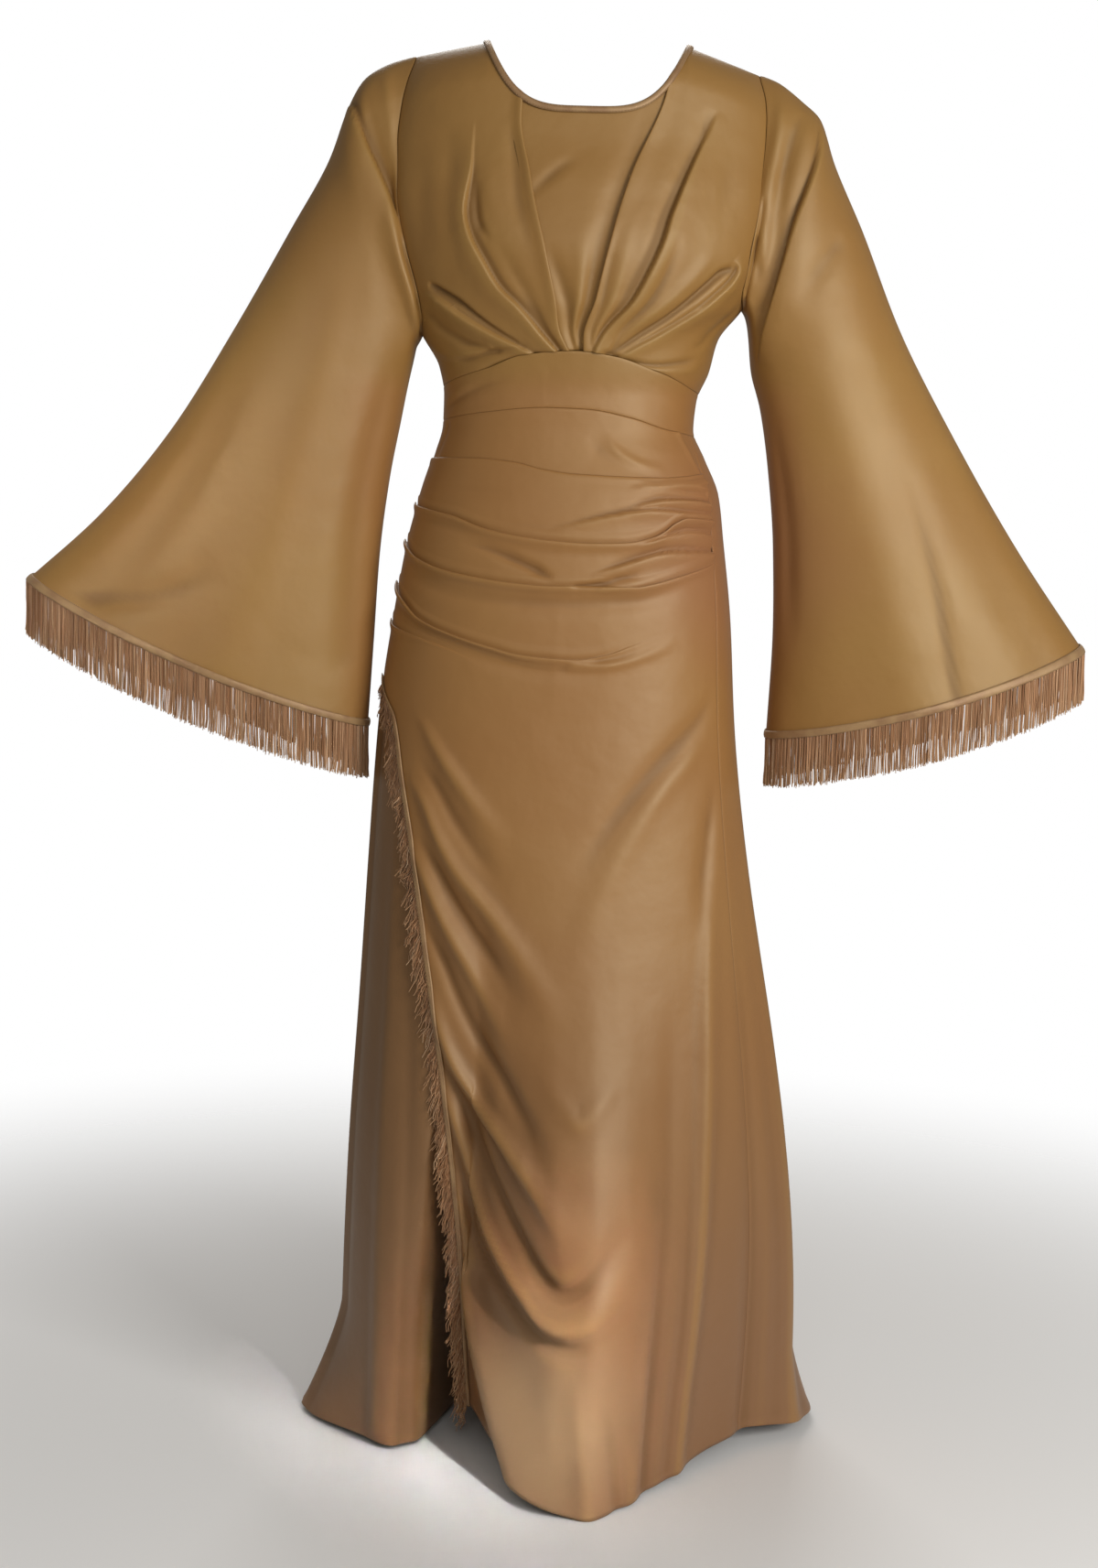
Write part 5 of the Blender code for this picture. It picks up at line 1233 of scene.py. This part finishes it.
sleeve = {
    "columns": 132,
    "rows": 140,
    "topRows": [0, .0012, .0028, .0050, .0085],
    "middle": (.0130, .9880),
    "hemRows": [.9895, .9918, .9941, .9962, .9982, 1],
    "armholeGap": .0002,
    "armholeReach": .30,
    "cuffBand": .0096,
    "both": {
        "along": [0, .06, .12, .18, .28, .40, .55, .70, .85, 1],
        "front": [.056, .058, .060, .061, .062, .064, .067, .070, .073, .077],
        "back": [.060, .062, .064, .065, .066, .067, .069, .071, .074, .077],
    },
    "left": {
        "outerX": [-.1765, -.2030, -.2300, -.2470, -.2680, -.3080, -.3700, -.4360, -.5110, -.5925],
        "outerZ": [-.0160, -.0240, -.0400, -.0680, -.1250, -.1980, -.3080, -.4140, -.5050, -.5800],
        "innerX": [-.1670, -.1700, -.1735, -.1760, -.1815, -.1885, -.2000, -.2095, -.2145, -.2195],
        "innerZ": [-.3060, -.3130, -.3200, -.3330, -.3600, -.3980, -.4620, -.5450, -.6400, -.7300],
        "sag": [0, 0, 0, 0, 0, .001, .003, .005, .008, .010],
        "folds": [
            # the body of the sleeve laid over the cap, and the hollow between
            pleat([4, 24, 46, 67, 82, 93, 104], [190, 165, 140, 102, 70, 36, 4], [0, 3, 5, 6, 6, 5.5, 5],
                  [0, 2, 4, 5, 5.5, 5, 4], [14, 22, 28, 30, 30, 28, 24], [6, 9, 10, 9, 7, 6, 5], -1),
            fold([30, 50, 70, 84, 96], [110, 92, 62, 34, 4], [0, -2.4, -3.6, -4, -3], [6, 7, 7, 6, 5]),
            fold([14, 34, 56, 70], [75, 55, 30, 10], [0, 2.2, 2.4, 1], [7, 7, 6, 5]),
            fold([98, 120, 145, 168], [50, 46, 46, 50], [2, 5, 5, 0], [9]),
            fold([98, 125, 165], [15, 12, 12], [-3, -6, -4], [4]),
            fold([70, 88, 96, 100, 102], [300, 450, 620, 800, 970], [0, 2.5, 3.5, 4.5, 5],
                 [14, 18, 24, 30, 34]),
            fold([34, 50, 64, 76, 84], [978, 962, 927, 880, 820], [0, -3.4, -4.4, -3, 0],
                 [10, 12, 14, 16, 18]),
            fold([46, 50, 52, 52], [500, 660, 820, 970], [0, -2, -3, -3], [14, 18, 22, 26]),
            fold([138, 140, 144, 150], [280, 450, 660, 880], [0, -3, -4, -3], [12, 16, 20, 24]),
            fold([210, 226, 232, 236], [200, 450, 700, 970], [0, -3, -4.5, -5], [14, 20, 26, 30]),
            fold([262, 270, 274, 276], [150, 400, 700, 970], [0, 3, 4, 5], [14, 20, 28, 34]),
            fold([310, 308, 306, 306], [250, 500, 800, 970], [0, -2.5, -3.5, -4], [14, 20, 26, 28]),
            fold([330, 310, 288], [100, 120, 100], [0, -4, 0], [8, 9, 8]),
        ],
    },
    "right": {
        "outerX": [.1880, .2060, .2330, .2530, .2680, .3020, .3460, .4120, .4830, .5610],
        "outerZ": [-.0330, -.0390, -.0570, -.0740, -.1150, -.1870, -.2900, -.4080, -.5210, -.6300],
        "innerX": [.1680, .1740, .1785, .1830, .1900, .2010, .2120, .2200, .2230, .2195],
        "innerZ": [-.2720, -.2800, -.2890, -.3050, -.3400, -.3780, -.4450, -.5250, -.6200, -.7320],
        "sag": [0, 0, 0, 0, 0, .001, .003, .005, .008, .012],
        "folds": [
            pleat([20, 34, 49, 68, 88, 109, 123, 139, 152],
                  [175, 190, 198, 194, 190, 210, 225, 248, 280], [0, 2.4, 4, 5.4, 6.2, 6.2, 6, 5, 0],
                  [0, 2, 4, 5, 5.5, 5.5, 5, 4, 0], [16, 24, 30, 32, 32, 30, 28, 24, 20],
                  [8, 12, 14, 14, 13, 12, 11, 10, 8], 1),
            fold([26, 40, 56, 76, 97, 120, 141], [120, 108, 98, 92, 103, 130, 160],
                 [0, -2.4, -4, -5, -5.4, -5, -3], [7, 8, 9, 9, 9, 9, 9]),
            fold([28, 45, 66, 86, 106], [60, 56, 50, 43, 36], [0, 2.6, 3.4, 3, 0], [6, 7, 7, 7, 6]),
            fold([118, 126, 132, 146], [12, 45, 72, 66], [-4, -5, -5, -2], [6, 7, 7, 7]),
            fold([100, 130, 165], [13, 12, 12], [-2, -5, -3], [4]),
            fold([44, 58, 78, 100], [372, 360, 347, 330], [0, -2.6, -3, 0], [10, 11, 11, 11]),
            fold([66, 72, 78, 82], [680, 800, 900, 985], [0, -2, -2.6, -2.4], [7, 8, 8, 8]),
            fold([90, 92, 94, 96], [350, 550, 780, 980], [0, 2.5, 3.8, 4.5], [18, 24, 30, 34]),
            fold([150, 150, 152, 154], [450, 600, 750, 880], [0, -3, -3.4, 0], [9, 11, 12, 13]),
            fold([40, 42, 44, 44], [450, 650, 850, 980], [0, -1.6, -2.6, -3], [16, 22, 26, 28]),
            fold([214, 228, 234, 238], [200, 450, 700, 970], [0, -3, -4.5, -5], [14, 20, 26, 30]),
            fold([264, 272, 276, 278], [150, 400, 700, 970], [0, 3, 4, 5], [14, 20, 28, 34]),
            fold([312, 310, 308, 308], [250, 500, 800, 970], [0, -2.5, -3.5, -4], [14, 20, 26, 28]),
            fold([330, 312, 290], [120, 150, 130], [0, -4, 0], [8, 9, 8]),
        ],
    },
}


def sleeveRing(roundArm, along, cut, side):
    outerX, outerZ, innerX, innerZ, front, back, sag = (
        follow(cut, "along", key, along)
        for key in ("outerX", "outerZ", "innerX", "innerZ", "front", "back", "sag"))
    angle = np.radians(roundArm)
    cosine, sine = np.cos(angle), np.sin(angle)
    x = (outerX + innerX) / 2 + cosine * (outerX - innerX) / 2
    z = (outerZ + innerZ) / 2 + cosine * (outerZ - innerZ) / 2
    y = -sine * np.where(sine > 0, front, back)
    chord = np.stack([outerX - innerX, outerZ - innerZ], -1)
    chord = chord / np.linalg.norm(chord, axis=-1, keepdims=True)
    x = x + side * sag * sine ** 2 * np.abs(chord[..., 1])
    z = z - sag * sine ** 2 * np.abs(chord[..., 0])
    return np.stack([x, y, z], -1)


def armholeRing(roundArm, side):
    isFront = roundArm <= 180
    halfway = np.where(isFront, roundArm, 360 - roundArm)
    turn, drop = armhole(halfway, side)
    points = wornPlace(np.where(isFront, turn, 180 - turn), drop)
    points[..., 0] += side * sleeve["armholeGap"]
    return points


def bellSleeve(side):
    word = "Left" if side < 0 else "Right"
    cut = {**sleeve["both"], **sleeve[word.lower()]}
    arm = np.arange(sleeve["columns"]) * 360 / sleeve["columns"]
    allRound = np.append(arm, 360)
    shift = armholeRing(arm, side) - sleeveRing(arm, np.zeros_like(arm), cut, side)
    shift = np.vstack([shift, shift[:1]])

    def place(roundArm, along):
        wrapped = np.mod(roundArm, 360)
        offset = np.stack([np.interp(wrapped, allRound, shift[:, k]) for k in range(3)], -1)
        return (sleeveRing(wrapped, along, cut, side)
                + offset * (1 - ease(along / sleeve["armholeReach"]))[..., None])

    inside = sleeve["rows"] - len(sleeve["topRows"]) - len(sleeve["hemRows"])
    levels = np.concatenate([sleeve["topRows"], np.linspace(*sleeve["middle"], inside), sleeve["hemRows"]])
    roundArm, along = np.meshgrid(arm, levels)
    points = place(roundArm, along)
    outward = outwardOf(place, roundArm, along, 1.0, .004) * -side
    lift = foldedOut(points, outward, cut["folds"], place) * ease(along / .020)
    crease = creaseOf(lift, points)
    lift = lift - seamRoll(points, "b")
    points = points + outward * lift[..., None]
    piece = giveWall(gridMesh("sleeve" + word, points, closed=True, flip=side > 0, crease=crease,
                              material=looks["satin"]))
    finishPiece(piece, "satin", "sleeve_" + word.lower())
    sheetFlat(piece, points)
    return points, outward


sleeves = {side: bellSleeve(side) for side in (-1, 1)}
print("sleeves made")


# Trims, fringe and stitches

trimBand = {"proud": .0009, "round": .0008, "wall": .0009}
slitTop = 8  # rows that the slit's band leaves free at its top


def bandOver(name, node, points, outward, closed, flip):
    share = np.linspace(-1, 1, len(points))[:, None, None]
    raised = points + outward * (trimBand["proud"] + clothWall + trimBand["round"] * (1 - share ** 2))
    piece = gridMesh(name, raised, closed=closed, flip=flip, material=looks["trim"])
    finishPiece(giveWall(piece, trimBand["wall"]), "trim", node)
    return raised


class Nodes(Tree):  # builds a Geometry Nodes tree with named inputs
    def __init__(self, name, sizes, whole=()):
        self.tree = bpy.data.node_groups.new(name, "GeometryNodeTree")
        kinds = {"Geometry": "Geometry", **dict.fromkeys(sizes, "Float"), **dict.fromkeys(whole, "Int"),
                 "Material": "Material"}
        for label, kind in kinds.items():
            self.tree.interface.new_socket(label, in_out="INPUT", socket_type="NodeSocket" + kind)
        self.tree.interface.new_socket("Geometry", in_out="OUTPUT", socket_type="NodeSocketGeometry")
        self.inputs = self.tree.nodes.new("NodeGroupInput").outputs

    def vector(self, operation, *values):
        return self.add("ShaderNodeVectorMath", {"operation": operation}, values)

    def scaled(self, vector, by):
        return self.add("ShaderNodeVectorMath", {"operation": "SCALE"}, {0: vector, "Scale": by})

    def random(self, low, high, seed):
        return self.add("FunctionNodeRandomValue", {"data_type": "FLOAT"},
                        {2: low, 3: high, "Seed": seed}, 1)

    def randomVector(self, seed, identity=None):
        return self.add("FunctionNodeRandomValue", {"data_type": "FLOAT_VECTOR"},
                        {0: (-1.0, -1.0, -1.0), 1: (1.0, 1.0, 1.0), "Seed": seed, "ID": identity})

    def named(self, name, kind="FLOAT"):
        return self.add("GeometryNodeInputNamedAttribute", {"data_type": kind}, [name], "Attribute")

    def store(self, geometry, name, value):
        return self.add("GeometryNodeStoreNamedAttribute", {"data_type": "FLOAT", "domain": "POINT"},
                        {"Geometry": geometry, "Name": name, "Value": value})

    def ends(self, geometry):
        real = self.add("GeometryNodeRealizeInstances", {}, [geometry])
        painted = self.add("GeometryNodeSetMaterial", {},
                           {"Geometry": real, "Material": self.inputs["Material"]})
        give(self.tree, self.tree.nodes.new("NodeGroupOutput").inputs[0], painted)
        return self.tree


def fringeTree():
    nodes = Nodes("fringe", ["Spacing", "Length", "Uneven", "Thickness", "Sideways", "Spring", "Stray",
                             "Clump", "Clump Size", "Jitter"])
    given = nodes.inputs
    line = nodes.add("GeometryNodeMeshToCurve", {}, [given["Geometry"]])
    roots = nodes.add("GeometryNodeCurveToPoints", {"mode": "LENGTH"},
                      {"Curve": line, "Length": given["Spacing"]})
    roots = nodes.add("GeometryNodeSetPosition", {}, {
        "Geometry": roots, "Offset": nodes.scaled(nodes.randomVector(11), given["Jitter"])})
    place = nodes.add("GeometryNodeInputPosition")
    swell = nodes.add("ShaderNodeTexNoise", {}, {"Vector": place, "Scale": 14.0, "Detail": 2.0})
    ragged = nodes.random(-1.0, 1.0, 5) + (swell - .5) * 1.6
    roots = nodes.store(roots, "reach", (ragged * given["Uneven"] + 1.0) * given["Length"])
    roots = nodes.store(roots, "tone", nodes.random(0.0, 1.0, 8))
    strand = nodes.add("GeometryNodeCurvePrimitiveLine", {}, {"Start": (0, 0, 0), "End": (0, 0, -1)})
    strand = nodes.add("GeometryNodeResampleCurve", {}, {"Curve": strand, "Count": 7})
    long = nodes.named("reach")
    size = nodes.add("ShaderNodeCombineXYZ", {}, [1.0, 1.0, long])
    hung = nodes.add("GeometryNodeInstanceOnPoints", {},
                     {"Points": roots, "Instance": strand, "Scale": size})
    hung = nodes.add("GeometryNodeRealizeInstances", {}, [hung])
    along = nodes.add("GeometryNodeSplineParameter", {}, {}, "Factor")
    whichStrand = nodes.add("GeometryNodeFieldOnDomain", {"domain": "CURVE", "data_type": "INT"},
                            [nodes.add("GeometryNodeInputIndex")])
    aside = nodes.scaled(nodes.named("aside", "FLOAT_VECTOR"), long * given["Sideways"] * along)
    arch = along * (1.0 - along) * long * given["Spring"]
    lifted = nodes.add("ShaderNodeCombineXYZ", {}, [0.0, 0.0, arch])
    bent = along ** 1.4
    stray = nodes.scaled(nodes.randomVector(21, whichStrand), bent * given["Stray"])
    tuft = nodes.add("ShaderNodeTexNoise", {},
                     {"Vector": place, "Scale": given["Clump Size"], "Detail": 2.0}, "Color")
    tuft = nodes.vector("MULTIPLY", nodes.vector("SUBTRACT", tuft, (.5, .5, .5)), (1.6, .8, .25))
    tuft = nodes.scaled(tuft, bent * given["Clump"])
    moved = nodes.vector("ADD", nodes.vector("ADD", aside, lifted), nodes.vector("ADD", stray, tuft))
    hung = nodes.add("GeometryNodeSetPosition", {}, {"Geometry": hung, "Offset": moved})
    hung = nodes.store(hung, "along", along)
    outline = nodes.add("GeometryNodeCurvePrimitiveCircle", {},
                        {"Resolution": 3, "Radius": given["Thickness"]})
    return nodes.ends(nodes.add("GeometryNodeCurveToMesh", {}, {"Curve": hung, "Profile Curve": outline}))


def stitchTree():
    nodes = Nodes("stitches", ["Pitch", "Length", "Thickness"], ["Seed"])
    given = nodes.inputs
    line = nodes.add("GeometryNodeMeshToCurve", {}, [given["Geometry"]])
    made = newNode(nodes.tree, "GeometryNodeCurveToPoints", {"mode": "LENGTH"},
                   {"Curve": line, "Length": given["Pitch"]}).outputs
    thread = nodes.add("GeometryNodeMeshCylinder", {}, {
        "Vertices": 6, "Side Segments": 1, "Fill Segments": 1, "Radius": given["Thickness"],
        "Depth": given["Length"]})
    facing = nodes.add("FunctionNodeAlignEulerToVector", {"axis": "Z"}, {"Vector": made["Tangent"]})
    return nodes.ends(nodes.add("GeometryNodeInstanceOnPoints", {}, {
        "Points": made["Points"], "Instance": thread, "Rotation": facing,
        "Scale": nodes.random(.85, 1.12, given["Seed"])}))


def railMesh(name, lines, aside=None):  # edge lines for a tree to follow
    points, edges = [], []
    for line, closed in lines:
        first = len(points)
        points += [tuple(p) for p in line]
        edges += [(first + k, first + k + 1) for k in range(len(line) - 1)]
        if closed:
            edges.append((first + len(line) - 1, first))
    mesh = bpy.data.meshes.new(name)
    mesh.from_pydata(points, edges, [])
    aside = np.zeros((len(points), 3)) if aside is None else aside
    mesh.attributes.new("aside", "FLOAT_VECTOR", "POINT").data.foreach_set("vector", np.ravel(aside))
    return placed(name, mesh)


def grown(rail, tree, look, sizes):  # the tree's result on a rail, as a plain mesh
    modifier = rail.modifiers.new("Nodes", "NODES")
    modifier.node_group = tree
    named = {item.name: item.identifier for item in tree.interface.items_tree if item.in_out == "INPUT"}
    for label, value in {**sizes, "Material": looks[look]}.items():
        modifier[named[label]] = value
    mesh = bpy.data.meshes.new_from_object(rail.evaluated_get(bpy.context.evaluated_depsgraph_get()))
    mesh.name = rail.name
    rail.modifiers.remove(modifier)
    rail.data = mesh
    mesh.shade_smooth()
    return rail


cuffFringe = {
    "Spacing": .00050, "Uneven": .03, "Thickness": .00050, "Sideways": 0.0, "Spring": 0.0, "Stray": .0013,
    "Clump": .0030, "Clump Size": 42.0, "Jitter": .0010,
}
cuffReach = {-1: .056, 1: .052}
slitFringe = {
    "Spacing": .00056, "Length": .025, "Uneven": .50, "Thickness": .00044, "Sideways": .34, "Spring": .25,
    "Stray": .0040, "Clump": .014, "Clump Size": 95.0, "Jitter": .0012,
}
stitch = {"Pitch": .0032, "Length": .0022, "Thickness": .00028, "Seed": 3}
stands = {"cuffFringe": .0006, "slitFringe": .0004, "stitch": .0001}  # how far off the cloth each starts
fringe, stitching = fringeTree(), stitchTree()
stitchLines = []
for side, (points, outward) in sleeves.items():
    word = "left" if side < 0 else "right"
    front = sleeve["columns"] // 4
    first = next(k for k in range(len(points)) if np.linalg.norm(points[k, front] - points[-1, front])
                 < sleeve["cuffBand"])
    raised = bandOver("cuffBand" + word.capitalize(), "cuff_band_" + word, points[first:], outward[first:],
                      True, side > 0)
    stitchLines += [(raised[1] + outward[first + 1] * stands["stitch"], True),
                    (raised[-2] + outward[-2] * stands["stitch"], True)]
    edge = points[-1] + outward[-1] * stands["cuffFringe"]
    rail = railMesh("cuffFringe" + word.capitalize(), [(edge, True)])
    strands = grown(rail, fringe, "fringe", {**cuffFringe, "Length": cuffReach[side]})
    finishPiece(strands, "fringe", "cuff_fringe_" + word)

lowWrap, lowOutward = (part[:wrap["lowRows"] - slitTop] for part in (wrapPoints, wrapOutward))
bandColumns = len(wrap["slitEdge"])
slitBand = bandOver("slitBand", "slit_band", *(part[:, :bandColumns].transpose(1, 0, 2)[::-1]
                                               for part in (lowWrap, lowOutward)), False, False)
aside = lowWrap[:, 0] - lowWrap[:, bandColumns - 2]
aside /= np.linalg.norm(aside, axis=-1, keepdims=True)
rail = railMesh("slitFringe", [(lowWrap[:, 0] + lowOutward[:, 0] * stands["slitFringe"], False)], aside)
finishPiece(grown(rail, fringe, "fringe", slitFringe), "fringe", "slit_fringe")
stitchLines += [(slitBand[1] + lowOutward[:, bandColumns - 2] * stands["stitch"], False),
                (slitBand[-2] + lowOutward[:, 1] * stands["stitch"], False)]
stitchLines += [(neckPoints[1], True), (neckPoints[-2], True)]
finishPiece(grown(railMesh("stitches", stitchLines), stitching, "thread", stitch), "trim")
print("trims, fringe and stitches made")


# Studio

studio = {
    "camera": (.005, -2.70, -.44), "looksAt": (-.018, 0.0, -.79), "roll": 1.4,
    "focalPixels": 2700.0, "imageHeight": 1713.0, "floor": cadBox[0][2] - .001, "floorSize": 9.0,
    "floorColour": (.90, .90, .90, 1.0), "floorRoughness": .85, "floorFades": (1.56, 2.35),
    "air": (1.0, .95, .88, 1.0), "airStrength": .22, "backdrop": (1.0, 1.0, 1.0, 1.0),
    "lights": [  # name, place, aim, width, height, power, spread, colour
        ("keySoftbox", (1.60, -2.1, -.10), (0, 0, -.48), 1.1, 1.2, 47.0, 180, (1.0, .985, .95)),
        ("frontSoftbox", (.1, -3.1, .5), (0, 0, -.45), 1.5, 1.4, 13.0, 180, (1.0, .98, .95)),
        ("leftSleeveSoftbox", (-1.45, -2.3, .25), (-.50, 0, -.44), .35, .35, .26, 13, (1.0, .98, .93)),
        ("rightSleeveSoftbox", (-.15, -3.0, .35), (.36, 0, -.40), .35, .35, .07, 11, (1.0, .98, .93)),
        ("hemSoftbox", (1.1, -2.3, .45), (-.01, -.24, -1.36), .25, .25, .21, 5, (1.0, .98, .94)),
        ("backSoftbox", (-.2, 2.6, 1.2), (0, 0, -.6), 1.6, 1.4, 36.0, 180, (1.0, .99, .97)),
    ],
}


def makeCamera():
    data = bpy.data.cameras.new("photoCamera")
    data.sensor_width = 36.0
    data.lens = data.sensor_width * studio["focalPixels"] / studio["imageHeight"]
    data.clip_end = 60.0
    place = Vector(studio["camera"])
    forward = (Vector(studio["looksAt"]) - place).normalized()
    right = forward.cross(Vector((0, 0, 1))).normalized()
    up = right.cross(forward)
    roll = math.radians(studio["roll"])
    x = right * math.cos(roll) + up * math.sin(roll)
    y = up * math.cos(roll) - right * math.sin(roll)
    camera = placed("photoCamera", data)
    camera.matrix_world = Matrix((x, y, -forward)).transposed().to_4x4()
    camera.location = place
    bpy.context.scene.camera = camera


def makeFloor():
    mesh = bpy.data.meshes.new("floor")
    half, z = studio["floorSize"], studio["floor"]
    mesh.from_pydata([(-half, -half, z), (half, -half, z), (half, half, z), (-half, half, z)], [],
                     [(0, 1, 2, 3)])
    finish = Finish("paleFloor")
    finish.set({"Base Color": studio["floorColour"], "Roughness": studio["floorRoughness"]})
    away = finish.add("ShaderNodeVectorMath", {"operation": "LENGTH"}, [finish.objectPlace()], "Value")
    clear = finish.add("ShaderNodeBsdfTransparent")
    near = Wire(finish, finish.shader.outputs[0])
    faded = finish.add("ShaderNodeMixShader", {}, [away.between(*studio["floorFades"]), near, clear])
    give(finish.tree, finish.tree.nodes["Material Output"].inputs["Surface"], faded)
    mesh.materials.append(finish.material)
    placed("floor", mesh)


def makeLights():
    for name, place, aim, width, height, power, spread, colour in studio["lights"]:
        data = bpy.data.lights.new(name, "AREA")
        data.shape = "RECTANGLE"
        data.size, data.size_y = width, height
        data.energy = power
        data.spread = math.radians(spread)
        data.color = colour
        lamp = placed(name, data)
        lamp.location = place
        lamp.rotation_euler = (Vector(aim) - Vector(place)).to_track_quat("-Z", "Y").to_euler()


def makeWorld():  # soft warm light, and a white backdrop for the camera
    world = bpy.data.worlds.new("studio")
    world.use_nodes = True
    tree = world.node_tree
    air = tree.nodes["Background"]
    give(tree, air.inputs["Color"], studio["air"])
    give(tree, air.inputs["Strength"], studio["airStrength"])
    backdrop = newNode(tree, "ShaderNodeBackground", {}, {"Color": studio["backdrop"]})
    seen = newNode(tree, "ShaderNodeLightPath", {}, {})
    either = newNode(tree, "ShaderNodeMixShader", {}, [seen.outputs["Is Camera Ray"], air.outputs[0],
                                                       backdrop.outputs[0]])
    give(tree, tree.nodes["World Output"].inputs["Surface"], either.outputs[0])
    bpy.context.scene.world = world


makeCamera()
makeFloor()
makeLights()
makeWorld()
bpy.context.scene.view_settings.view_transform = "Standard"
print("studio made")
